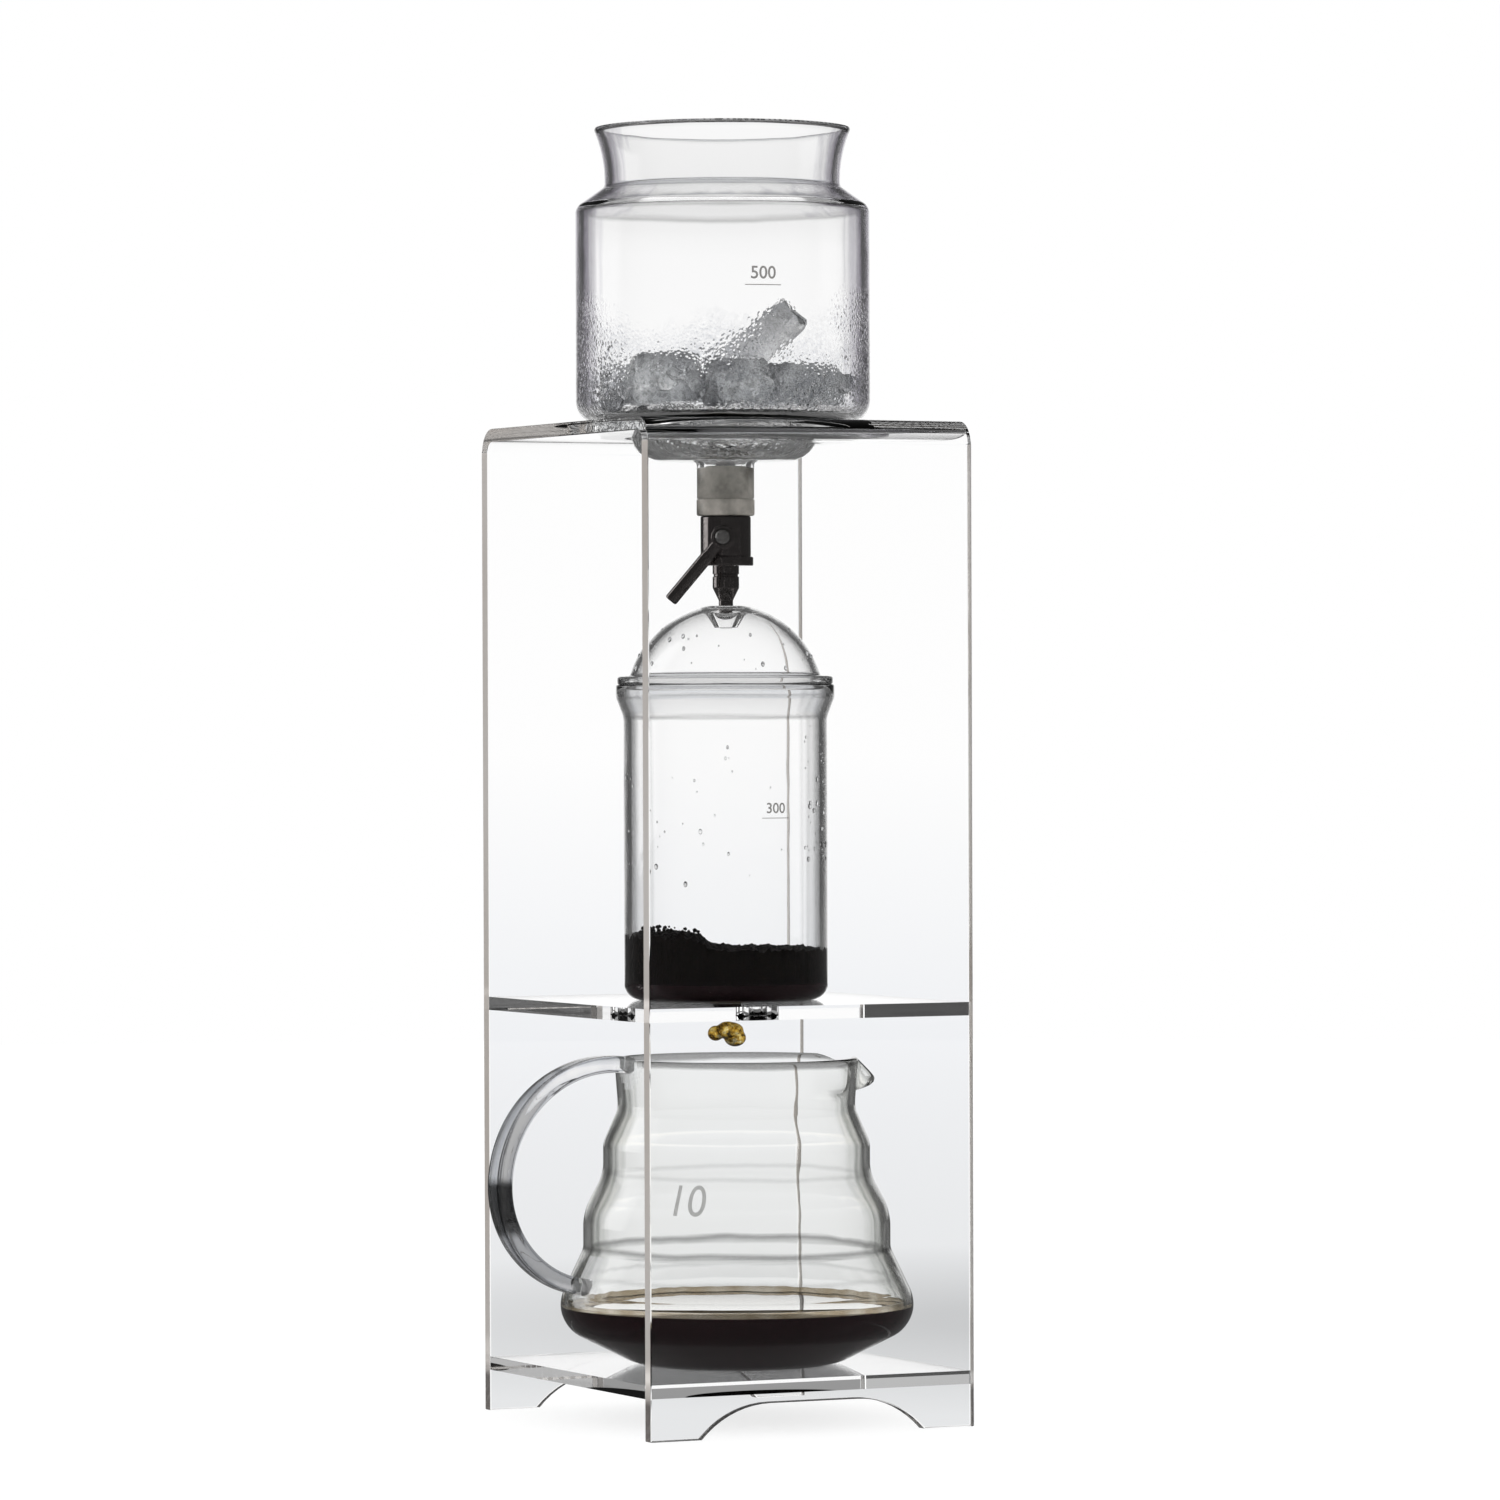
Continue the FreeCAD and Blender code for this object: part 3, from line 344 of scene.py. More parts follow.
class NodeTree:
    """The nodes of a material or of the world, with short calls to add and join them."""

    def __init__(self, owner):
        owner.use_nodes = True
        self.nodes = owner.node_tree.nodes
        self.links = owner.node_tree.links

    def feed(self, socket, value):
        """Join an output to a socket, or set the socket's own value."""
        if isinstance(value, bpy.types.NodeSocket):
            self.links.new(value, socket)
        else:
            socket.default_value = value

    def put(self, node, **values):
        """Feed a node's sockets by name, with an underscore for a space."""
        for key, value in values.items():
            self.feed(node.inputs[key.replace("_", " ")], value)

    def add(self, kind, *terms, **named):
        """Add a node and feed its first sockets with terms. Names that start with a capital are its
        sockets, and the others are its settings."""
        node = self.nodes.new("ShaderNode" + kind)
        for key, value in named.items():
            if not key[0].isupper():
                setattr(node, key, value)
        for socket, value in zip(node.inputs, terms):
            self.feed(socket, value)
        self.put(node, **{key: value for key, value in named.items() if key[0].isupper()})
        return node

    def maths(self, operation, *terms):
        return self.add("Math", *terms, operation=operation).outputs["Value"]

    def vectors(self, operation, *terms):
        return self.add("VectorMath", *terms, operation=operation).outputs["Vector"]

    def measure(self, operation, *terms):
        """A length, distance or dot product of vectors."""
        return self.add("VectorMath", *terms, operation=operation).outputs["Value"]

    def part(self, vector, axis):
        return self.add("SeparateXYZ", vector).outputs[axis]

    def between(self, source, low, high, start=0.0, end=1.0, fall="LINEAR"):
        """Map a value's range from start to end onto low to high."""
        return self.add("MapRange", interpolation_type=fall, Value=source, From_Min=start, From_Max=end,
                        To_Min=low, To_Max=high).outputs["Result"]

    def ramp(self, source, stops):
        """A colour ramp from (place, colour) stops."""
        node = self.add("ValToRGB", source)
        elements = node.color_ramp.elements
        while len(elements) < len(stops):
            elements.new(0.5)
        for element, (place, colour) in zip(elements, stops):
            element.position = place
            element.color = rgba(colour)
        return node.outputs["Color"]

    def mixed(self, share, first, second, blend="MIX"):
        """Two colours mixed, by a share of the second."""
        return self.add("Mix", data_type="RGBA", blend_type=blend, Factor=share, A=first,
                        B=second).outputs["Result"]

    def tinted(self, first, second):
        return self.mixed(1, first, second, "MULTIPLY")

    def either(self, choice, first, second):
        return self.add("MixShader", choice, first, second).outputs["Shader"]

    def place(self):
        return self.add("TexCoord").outputs["Object"]


class Shader(NodeTree):
    """A material, with the main shader's own sockets given as named values."""

    def __init__(self, name, **values):
        self.material = bpy.data.materials.new(name)
        super().__init__(self.material)
        self.surface = self.nodes["Principled BSDF"]
        self.put(self.surface, **values)

    def scaled_place(self, scale):
        """The object's own coordinates times a scale, or a scale for each axis."""
        sizes = scale if isinstance(scale, tuple) else (scale,) * 3
        return self.vectors("MULTIPLY", self.place(), sizes)

    def noise(self, scale, detail=3, roughness=0.5):
        """Noise with its scale in waves per metre, for all axes or for each."""
        return self.add("TexNoise", Vector=self.scaled_place(scale), Scale=1, Detail=detail,
                        Roughness=roughness).outputs["Fac"]

    def beads(self, scale):
        """Round beads at so many a metre: their height, and a value for each bead."""
        cells = self.add("TexVoronoi", Vector=self.scaled_place(scale), Scale=1).outputs
        return self.between(cells["Distance"], 1, 0, 0, 0.5), self.part(cells["Color"], "X")

    def height(self):
        """Height above the floor in metres."""
        return self.part(self.place(), "Z")

    def rising(self, low, high):
        """From 0 at one height to 1 at another, both in millimetres."""
        return self.between(self.height(), 0, 1, low * MM, high * MM)

    def colour(self, source, stops=None):
        self.put(self.surface, Base_Color=self.ramp(source, stops) if stops else source)

    def rough(self, source, low, high):
        """Let a pattern drive the roughness between two values."""
        self.put(self.surface, Roughness=self.between(source, low, high))

    def bump(self, source, strength, distance, after=None):
        """Raise the surface by a pattern, on top of an earlier bump."""
        node = self.add("Bump", Strength=strength, Distance=distance, Height=source)
        if after is not None:
            self.put(node, Normal=after)
        self.put(self.surface, Normal=node.outputs["Normal"])
        return node.outputs["Normal"]

    def let_light_through(self, tint):
        """Light from lamps and from diffuse surfaces passes straight through."""
        path = self.add("LightPath").outputs
        passing = self.maths("MAXIMUM", path["Is Shadow Ray"], path["Is Diffuse Ray"])
        clear = self.add("BsdfTransparent", rgba(tint)).outputs["BSDF"]
        look = self.either(passing, self.surface.outputs["BSDF"], clear)
        self.put(self.nodes["Material Output"], Surface=look)


# How strongly clear pieces mirror light that meets them square on
FAINT = rgba(0.15)


def clear_glass(name, stops, datum, shade_bands, streaks=0.12, waves=0.0002, mist=None, plain_below=None,
                clearness=1.0):
    """Clear glass with painted shade that darkens its wall towards its outline. stops are places from 0,
    seen square on, to 1, seen edge on, with a colour each of that painted shade. shade_bands are
    heights above a datum with a grey each, painted shade at rims and creases, and mist has the lowest
    and highest height of the fine dew. streaks is how unevenly the wall's tone runs, and below one
    height it keeps an even tone."""
    shader = Shader(name, Transmission_Weight=clearness, IOR=1.47, Roughness=0.0, Specular_Tint=FAINT)
    facing = shader.add("LayerWeight", Blend=0.5).outputs["Facing"]
    slope = shader.part(shader.add("NewGeometry").outputs["Normal"], "Z")
    steepness = shader.between(shader.maths("MULTIPLY", slope, slope), 1, 0, 0.6, 0.95)
    edge_on = shader.maths("MULTIPLY", facing, steepness)
    if plain_below is not None:
        toned = shader.rising(datum + plain_below, datum + plain_below + 6)
        edge_on = shader.maths("MULTIPLY", edge_on, toned)
    uneven = shader.between(shader.noise((130, 130, 7), detail=2), -streaks, streaks)
    # Painted shade: the wall darkens towards its outline
    tint = shader.ramp(shader.maths("ADD", edge_on, uneven), stops)
    foot, top = shade_bands[0][0], shade_bands[-1][0]
    sway = shader.between(shader.noise((22, 22, 5), detail=2), -1.5 * MM, 1.5 * MM)
    level = shader.between(shader.maths("ADD", shader.height(), sway), 0, 1, (datum + foot) * MM,
                           (datum + top) * MM)
    # Painted shade: grey bands at rims and creases
    shade_rings = shader.ramp(level, [((height - foot) / (top - foot), tone) for height, tone in shade_bands])
    tint = shader.tinted(tint, shade_rings)
    wave = shader.bump(shader.noise((45, 45, 30), detail=2), 0.5, waves)
    if mist:
        low, high = (datum + height for height in mist)
        below, above = shader.rising(high + 22, high - 16), shader.rising(low, low + 4)
        patches = shader.between(shader.noise(38), 0, 1, 0.4, 0.6)
        cover = shader.maths("MULTIPLY", shader.maths("MULTIPLY", below, above), patches)
        beads, shades = shader.beads(620)
        shader.bump(shader.maths("MULTIPLY", cover, beads), 0.7, 0.0005, after=wave)
        shade = shader.ramp(shader.maths("MULTIPLY", cover, shades),
                            [(0.1, 1), (0.5, (0.84, 0.845, 0.86)), (1, (0.5, 0.51, 0.54))])
        tint = shader.tinted(tint, shade)
    shader.colour(tint)
    shader.let_light_through((0.93, 0.94, 0.94))
    return shader.material


def clear_acrylic():
    """Polished cast acrylic."""
    shader = Shader("acrylic", Transmission_Weight=1.0, IOR=1.49, Roughness=0.0, Specular_Tint=FAINT,
                    Base_Color=rgba(1))
    shader.let_light_through((0.95, 0.955, 0.955))
    return shader.material


def cut_edge():
    """Polished acrylic edge, pale and a little warm, and darker on the feet."""
    shader = Shader("acrylic_cut_edge", Transmission_Weight=0.3, IOR=1.49, Roughness=0.12)
    tone = shader.ramp(shader.noise((12, 12, 9), detail=2),
                       [(0.35, (0.66, 0.60, 0.55)), (0.65, (0.80, 0.76, 0.73))])
    shade = shader.ramp(shader.rising(13, 17), [(0, (0.30, 0.29, 0.29)), (1, 1)])
    shader.colour(shader.tinted(tone, shade))
    shader.let_light_through((0.8, 0.79, 0.76))
    return shader.material


def speckled(name, pattern, stops=None, rough=None, relief=None, light=None, **values):
    """A finish that follows one noise pattern, given as its scale, detail and roughness. rough has the
    least and most roughness, relief a strength, a distance and maybe a pattern of its own, and light
    the tint of the light that passes."""
    shader = Shader(name, **values)
    grain = shader.noise(*pattern)
    if stops:
        shader.colour(grain, stops)
    if rough:
        shader.rough(grain, *rough)
    if relief:
        strength, distance, *own = relief
        shader.bump(shader.noise(*own) if own else grain, strength, distance)
    if light:
        shader.let_light_through(light)
    return shader.material


def shaded(colour, share):
    """Two stops, from a share of a colour to the whole of it."""
    return [(0.3, tuple(share * part for part in colour)), (0.7, colour)]


def bright_metal(name, colour, roughness):
    """Plated or turned metal with fine turning marks and a trace of wear."""
    return speckled(name, (900, 3, 0.6), shaded(colour, 0.72), (roughness * 0.6, roughness * 1.5),
                    (0.15, 0.0001), Metallic=1.0)


def silicone(name, dark, light, clearness):
    """Cloudy silicone rubber with a dusty bloom."""
    return speckled(name, (55, 5, 0.6), [(0.38, dark), (0.62, light)], (0.22, 0.45), (0.2, 0.0002, 700),
                    Transmission_Weight=clearness, IOR=1.41, Specular_IOR_Level=0.7)


def plain_finish(name, colour, roughness):
    """Matt moulded plastic or print with a faint grain."""
    return speckled(name, (500,), shaded(colour, 0.85), (roughness * 0.8, roughness * 1.2))


def wet_ice():
    """Half cloudy ice with a wet, dimpled and speckled skin. Its cloudy patches are painted a darker
    grey, a painted shade, and a block that stands clear above the others gets more painted shade.
    """
    shader = Shader("wet_ice", Transmission_Weight=0.75, IOR=1.31, Specular_Tint=FAINT)
    cloud = shader.noise(48, detail=4, roughness=0.55)
    # Cloudy patches, their dark greys a painted shade
    body = shader.ramp(cloud, [(0.4, 1), (0.46, (0.92, 0.92, 0.925)), (0.54, (0.62, 0.62, 0.63)),
                               (0.64, (0.34, 0.34, 0.35))])
    speckle = shader.noise(480, detail=2, roughness=0.6)
    body = shader.tinted(body, shader.ramp(speckle, [(0.38, 0.6), (0.48, 0.9), (0.56, 1)]))
    # Painted shade on what stands clear above the other blocks
    painted_shade_above_others = shader.ramp(shader.rising(PLATE_TOP + 24, PLATE_TOP + 42), [(0, 1), (1, 0.6)])
    shader.colour(shader.tinted(body, painted_shade_above_others))
    shader.rough(cloud, 0.0, 0.08)
    skin = shader.bump(shader.noise(110, detail=1), 0.6, 0.003)
    shader.bump(speckle, 0.4, 0.0006, after=skin)
    shader.let_light_through((0.9, 0.9, 0.91))
    return shader.material


# The colours of these glasses are painted shade: each wall darkens towards its outline, and grey bands
# darken rims and creases
BOWL_GLASS = clear_glass(
    "bowl_glass", [(0, 1), (0.46, 1), (0.52, (0.72, 0.71, 0.75)), (0.57, (0.97, 0.96, 0.98)),
                   (0.70, (0.62, 0.60, 0.66)), (0.82, (0.24, 0.22, 0.27)), (1, (0.06, 0.05, 0.08))],
    PLATE_TOP, [(-SEAT, 1), (66, 0.98), (79, 0.93), (80.6, 0.5), (82.2, 0.9), (86.5, 0.88), (88.2, 0.5),
                (90, 0.93), (109, 0.95), (110.3, 0.85), (111.5, 0.85)],
    streaks=0.16, mist=(3, 30), plain_below=2)
LID_GLASS = clear_glass(
    "lid_glass", [(0, 1), (0.62, 1), (0.78, 0.45), (1, 0.15)],
    LID_FOOT, [(0, 0.9), (2.5, 0.65), (5.5, 0.8), (7, 1), (30, 1)], streaks=0.05)
DRIPPER_GLASS = clear_glass(
    "dripper_glass",
    [(0, 1), (0.36, 1), (0.4, 0.7), (0.46, 0.95), (0.6, 0.85), (0.74, 0.35), (1, 0.1)],
    DRIPPER_FOOT + DRIPPER_TOP, [(-DRIPPER_TOP, 1), (-13.5, 1), (-12.3, 0.72), (-11, 0.95), (-5.6, 0.9),
                                 (-4.6, 0.7), (-3.6, 0.94), (-1, 0.9), (0, 0.5)], streaks=0.05)
CARAFE_GLASS = clear_glass(
    "carafe_glass", [(0, (1, 1, 0.99)), (0.5, (1, 1, 0.985)), (0.57, (0.72, 0.73, 0.70)),
                     (0.62, (0.9, 0.9, 0.87)), (0.66, (0.35, 0.36, 0.34)), (0.72, (0.7, 0.71, 0.68)),
                     (0.80, (0.42, 0.43, 0.41)), (0.88, (0.10, 0.10, 0.09)), (1, 0.04)],
    BASE_SHELF_TOP, [(0, 1), (32, 1), (33.2, 0.8), (34.4, 1), (42, 1), (43.8, 0.42), (45.4, 1),
                     (70.5, 1), (71.7, 0.82), (73, 1), (112, 1), (113, 0.42), (CARAFE_HEIGHT, 0.42)],
    streaks=0.07, waves=0.0005)
# The handle's grey below 50 mm above the shelf is painted shade, and its near black from 53 to 69.5 mm
# is a painted reflection of the dark room
HANDLE_GLASS = clear_glass(
    "handle_glass", [(0, 0.92), (0.22, (0.70, 0.71, 0.74)), (0.34, (0.13, 0.14, 0.16)),
                     (0.46, (0.55, 0.56, 0.59)), (0.7, (0.3, 0.31, 0.34)), (1, (0.05, 0.05, 0.06))],
    BASE_SHELF_TOP, [(0, 0.55), (50, 0.55), (53, 0.08), (69.5, 0.08), (73, 0.95), (CARAFE_HEIGHT, 1)],
    streaks=0.14)
ROOT_GLASS = clear_glass(
    "handle_root_glass", [(0, 1), (0.5, 0.92), (1, 0.6)],
    BASE_SHELF_TOP, [(0, 1), (CARAFE_HEIGHT, 1)], streaks=0.05, clearness=0.78)
ACRYLIC = clear_acrylic()
CUT_EDGE = cut_edge()
# The tap's chrome has a darker colour than plated metal has: a painted shade that keeps the tap dark
CHROME = bright_metal("tap_chrome", (0.24, 0.22, 0.215), 0.08)
STEEL = bright_metal("turned_steel", (0.56, 0.55, 0.54), 0.2)
BUNG = silicone("bung_silicone", (0.15, 0.14, 0.12), (0.56, 0.52, 0.47), 0.25)
GASKET = silicone("gasket_silicone", (0.012, 0.010, 0.010), (0.05, 0.045, 0.04), 0.0)
SEAL = silicone("seal_rubber", (0.010, 0.010, 0.010), (0.03, 0.03, 0.03), 0.0)
SEATS = plain_finish("seat_plastic", (0.82, 0.82, 0.80), 0.5)
ICE = wet_ice()
# Water that looks lumpy where small bits of ice float in it: a raised surface, and darker patches in its
# colour that are painted shade
WATER = speckled("melt_water", (230, 2, 0.6), [(0.44, 1), (0.54, (0.95, 0.95, 0.94)), (0.64, 0.6)],
                 relief=(1, 0.004), light=(0.92, 0.93, 0.94), Transmission_Weight=0.95, IOR=1.33,
                 Roughness=0.0, Specular_Tint=FAINT)
DEWDROP = speckled("dewdrop_water", (300, 2), [(0.4, 0.95), (0.6, 0.55)], light=0.9,
                   Transmission_Weight=1.0, IOR=1.33, Roughness=0.0)
# Strong coffee, nearly black in depth
COFFEE = speckled("brewed_coffee", (60, 2), relief=(0.1, 0.0005), Base_Color=(0.010, 0.004, 0.005, 1),
                  Roughness=0.05, IOR=1.34)
# The still top of the coffee, which mirrors what lies beyond it
COFFEE_TOP = speckled("coffee_surface", (25, 1), relief=(0.05, 0.0003), Roughness=0.0, IOR=1.34,
                      Base_Color=(0.02, 0.009, 0.007, 1), Coat_Weight=1.0, Coat_IOR=1.4,
                      Coat_Roughness=0.0)
# The film of coffee that climbs the glass, thin enough to be brown
COFFEE_FILM = speckled("coffee_film", (90,), [(0.35, (0.60, 0.50, 0.36)), (0.65, (0.84, 0.77, 0.66))],
                       Transmission_Weight=0.8, IOR=1.34, Roughness=0.1)
GROUNDS = speckled("wet_grounds", (900, 4, 0.7),
                   [(0.3, (0.003, 0.002, 0.002)), (0.6, (0.008, 0.005, 0.004)),
                    (0.8, (0.035, 0.018, 0.010))], (0.25, 0.7), (0.8, 0.0012), Specular_IOR_Level=0.2)
# Golden coffee with dark and bright specks in its colour: painted shade and painted highlights
DROP = speckled("amber_drop", (330, 3, 0.65),
                [(0.38, (0.015, 0.010, 0.004)), (0.46, (0.38, 0.20, 0.02)),
                 (0.54, (0.80, 0.54, 0.09)), (0.62, (1, 0.95, 0.65))],
                relief=(0.6, 0.001, 500, 2), Transmission_Weight=0.85, IOR=1.36, Roughness=0.02)
PRINT = plain_finish("grey_print", (0.30, 0.29, 0.28), 0.6)
PALE_PRINT = plain_finish("pale_print", (0.50, 0.50, 0.49), 0.6)


# ---- stand

def stand_pieces():
    """The bent sheet and its shelves, with eased edges and sawn edge faces."""
    bm = node_copy("stand_frame")
    cut_across(bm, (0, 0, PLATE_TOP - BEND), (0, 0, 1))
    ease_edges(bm, 0.35, degrees=50)
    for face in bm.faces:
        if abs(face.normal.x) > 0.9 and face.calc_center_median().z < PLATE_TOP - BEND:
            face.material_index = 1
    finished("acrylic_frame", bm, "stand", [ACRYLIC, CUT_EDGE], ["stand_frame"], flat=True)
    glued = SPAN_HALF - SHEET - 0.1
    for node in ("middle_shelf", "base_shelf"):
        bm = node_copy(node)
        for vert in bm.verts:
            if abs(vert.co.y) > glued:
                vert.co.y += math.copysign(WETTING, vert.co.y)
        ease_edges(bm, 0.3, degrees=50, chosen=lambda edge: all(abs(vert.co.y) < glued
                                                                for vert in edge.verts))
        finished("acrylic_" + node, bm, "stand", [ACRYLIC], [node], flat=True)


# ---- water bowl

def water_bowl():
    bm = turned([
        (SPIGOT_RADIUS, 0), (SPIGOT_RADIUS, SPIGOT_LENGTH, 2), (WELL_RADIUS, SPIGOT_LENGTH, WELL_ROUND),
        (WELL_RADIUS, SEAT, 1.5), (BOWL_RADIUS, SEAT, BOWL_CORNER), (BOWL_RADIUS, BOWL_SHOULDER, 4),
        (BOWL_NECK_RADIUS, BOWL_NECK, 2.5), (BOWL_NECK_RADIUS, BOWL_FLARE, 42),
        (BOWL_LIP_RADIUS, BOWL_TOP)], steps=128)
    add_wall(bm, BOWL_WALL)
    level_off(bm, BOWL_TOP)
    ease_edges(bm, BOWL_LIP, steps=3, chosen=near_height(BOWL_TOP, 1))
    level_off(bm, BOWL_TOP)
    ease_edges(bm, 0.6, chosen=near_height(0, 0.3))
    finished("glass_bowl", bm, "bowl", [BOWL_GLASS], ["water_bowl"],
             (TOWER_X, 0, BOWL_FOOT))


def melt_water_body():
    """Melt water in the bowl's well, with a meniscus and a lumpy surface."""
    level = top_of("cold_water") - BOWL_FOOT
    foot = foot_of("cold_water") - BOWL_FOOT
    inner = WETTING - BOWL_WALL
    bm = turned([
        (0, foot), (SPIGOT_RADIUS + inner, foot), (SPIGOT_RADIUS + inner, SPIGOT_LENGTH - inner),
        (WELL_RADIUS + inner, SPIGOT_LENGTH - inner, WELL_ROUND + inner),
        (WELL_RADIUS + inner, SEAT - inner), (BOWL_RADIUS - BOWL_CORNER, SEAT - inner),
        (BOWL_RADIUS - 6, level), (BOWL_RADIUS - BOWL_CORNER, level - 0.7), (0, level - 0.7)])
    finished("melt_water", bm, "bowl", [WATER], ["cold_water"], (TOWER_X, 0, BOWL_FOOT))


def melted_block(size, seed):
    """A block of ice with worn edges and a dimpled skin."""
    bm = worn_box(size, 0.2, 2)
    bmesh.ops.subdivide_edges(bm, edges=bm.edges[:], cuts=3, use_grid_fill=True)
    shift = Vector((seed * 7.3, seed * 1.7, seed * 4.1))
    for vert in bm.verts:
        dent = noise.noise(vert.co * 0.11 + shift) * 1.6 + noise.noise(vert.co * 0.3 + shift) * 0.7
        vert.co -= vert.normal * (1.2 + dent)
    bmesh.ops.smooth_vert(bm, verts=bm.verts[:], factor=0.5, use_axis_x=True, use_axis_y=True,
                          use_axis_z=True)
    return bm


def ice():
    """The blocks of ice, each the size and in the place of its solid in the frame, and the small bits
    that have broken off them."""
    solids = node_copy("ice_cubes", flat_angle=0.5)
    whole = bmesh.new()
    for number, block in enumerate(separate_lumps(solids)):
        middle, axes, size = block_pose(block, DENT_ENDS[number])
        lump = melted_block(size, number + 1)
        bmesh.ops.transform(lump, matrix=Matrix.Translation(middle) @ axes.to_4x4(), verts=lump.verts)
        append_form(whole, lump)
    solids.free()
    chance = random.Random(3)
    for _ in range(SMALL_ICE_BITS):
        size = chance.uniform(2.5, 7)
        reach = (BOWL_RADIUS - BOWL_CORNER) * math.sqrt(chance.random())
        way = chance.uniform(0, FULL_TURN)
        bit = worn_box((size, size, size), 0.18, 1)
        turn = Matrix.Rotation(chance.uniform(0, 3), 4,
                               Vector([chance.uniform(-1, 1) for _ in range(3)]))
        place = Vector((TOWER_X + reach * math.cos(way), reach * math.sin(way),
                        PLATE_TOP + 7 + chance.uniform(0, 14)))
        bmesh.ops.transform(bit, matrix=Matrix.Translation(place) @ turn, verts=bit.verts)
        append_form(whole, bit)
    finished("ice_blocks", whole, "bowl", [ICE], ["ice_cubes"], crease=80)


def separate_lumps(bm):
    """The groups of joined faces in a form, largest first."""
    left, groups = set(bm.faces), []
    while left:
        group = grown = {left.pop()}
        while grown:
            grown = {other for face in grown for edge in face.edges for other in edge.link_faces} - group
            group = group | grown
        left -= group
        groups.append(group)
    return sorted(groups, key=lambda faces: -sum(face.calc_area() for face in faces))


def block_pose(faces, ends):
    """Middle, axes and size of a block, read from its largest faces. Faces of one size are told apart
    by where they point, so that every run draws the same dents."""
    def rank(face):
        return (-round(face.calc_area()), -round(abs(face.normal.z), 1),
                -face.normal.dot(UP_AND_FRONT))

    largest = sorted(faces, key=rank)[:6]
    verts = {vert for face in faces for vert in face.verts}
    first = largest[0].normal.normalized() * ends[0]
    second = next(face.normal for face in largest if abs(face.normal.dot(first)) < 0.2)
    second = second.normalized() * ends[1]
    axes = [first, second, first.cross(second).normalized()]
    reach = [[vert.co.dot(axis) for vert in verts] for axis in axes]
    middle = sum((axis * (max(r) + min(r)) / 2 for axis, r in zip(axes, reach)), Vector())
    return middle, Matrix(axes).transposed(), [max(r) - min(r) for r in reach]


# ---- tap

def tap_pieces():
    """The bung and the tap below it."""
    place = (TOWER_X, 0, 0)
    bung_foot, bung_head, bung_top = TAP_TOP, BOWL_FOOT - 0.05, top_of("bowl_stopper")
    plug = SPIGOT_RADIUS - BOWL_WALL + WETTING
    bm = turned([
        (STEM_RADIUS, bung_foot), (BUNG_RADIUS, bung_foot, 0.8), (BUNG_RADIUS, bung_head, 0.3),
        (plug, bung_head), (plug, bung_top, 0.8), (STEM_RADIUS, bung_top)], closed=True)
    finished("silicone_bung", bm, "bowl", [BUNG], ["bowl_stopper"], place)
    foot, seat, inlet = foot_of("valve_body"), BALL_Z + 5.6, STEM_RADIUS - 0.05
    body = [(6.7, foot), (TAP_RADIUS, foot, 0.3), (TAP_RADIUS, TAP_TOP, 0.9), (inlet, TAP_TOP),
            (inlet, seat), (6.7, seat)]
    cap = foot_of("valve_end_cap")
    end_cap = [(3.15, cap), (CAP_RADIUS, cap, 0.6), (CAP_RADIUS, cap + 3.45, 0.6),
               (CAP_THREAD, cap + 3.45), (CAP_THREAD, cap + 5), (2.6, cap + 5), (2.6, cap + 2.85),
               (3.15, cap + 2.85)]
    tip = foot_of("drip_nozzle")
    nozzle = [(NOZZLE_BORE, tip), (2.7, tip, 0.3), (2.7, tip + 3.1, 0.8),
              (NOZZLE_RADIUS, tip + 7.8, 1.2), (NOZZLE_RADIUS, cap - 4.2), (4.6, cap - 3.9),
              (4.6, cap - 3.3), (NOZZLE_RADIUS, cap - 3), (NOZZLE_RADIUS, cap - 0.05),
              (3.1, cap - 0.05), (3.1, cap + 2.8), (NOZZLE_BORE, cap + 2.8)]
    for name, node, corners, steps in (("tap_body", "valve_body", body, 96),
                                       ("tap_end_cap", "valve_end_cap", end_cap, 96),
                                       ("nozzle", "drip_nozzle", nozzle, 64)):
        bm = turned(corners, steps, closed=True)
        finished(name, bm, "bowl", [CHROME], [node], place)


def lever_pieces():
    """Hub with its rod, and the screw that holds it, turned from Z to the spindle and X to the lever."""
    quarter = math.radians(90)
    turn = (Matrix.Rotation(VALVE_TURN, 3, "Z") @ Matrix.Rotation(quarter, 3, "X")
            @ Matrix.Rotation(math.pi + LEVER_DROP, 3, "Z"))
    place = Vector((TOWER_X, 0, BALL_Z))
    bm = turned([(HUB_BORE, HUB_START), (4.5, HUB_START, 0.6), (4.5, HUB_END, 0.8), (3.1, HUB_END),
                 (2.9, HUB_END - 0.3), (HUB_BORE, HUB_END - 0.3)], steps=64, closed=True)
    finished("lever_hub", bm, "tap_lever", [CHROME], ["valve_lever"], place, turn)
    rod = turned([(0, 3.2), (2.3, 3.2), (2.3, 8), (ROD_RADIUS, 9.5, 2), (ROD_RADIUS, LEVER_LENGTH, 0.8),
                  (0, LEVER_LENGTH)], steps=48)
    root = place + turn @ Vector((0, 0, (HUB_START + HUB_END) / 2))
    finished("lever_rod", rod, "tap_lever", [CHROME], ["valve_lever"], root,
             turn @ Matrix.Rotation(quarter, 3, "Y"))
    head = HUB_END - 0.25
    bm = turned([(0, HUB_END - 3), (1.1, HUB_END - 3), (1.1, head), (2.7, head),
                 (2.7, HUB_END + 1.4, 0.7), (0, HUB_END + 1.4)], steps=48)
    finished("lever_screw_head", bm, "tap_lever", [STEEL], ["lever_screw"], place, turn)


# ---- dripper

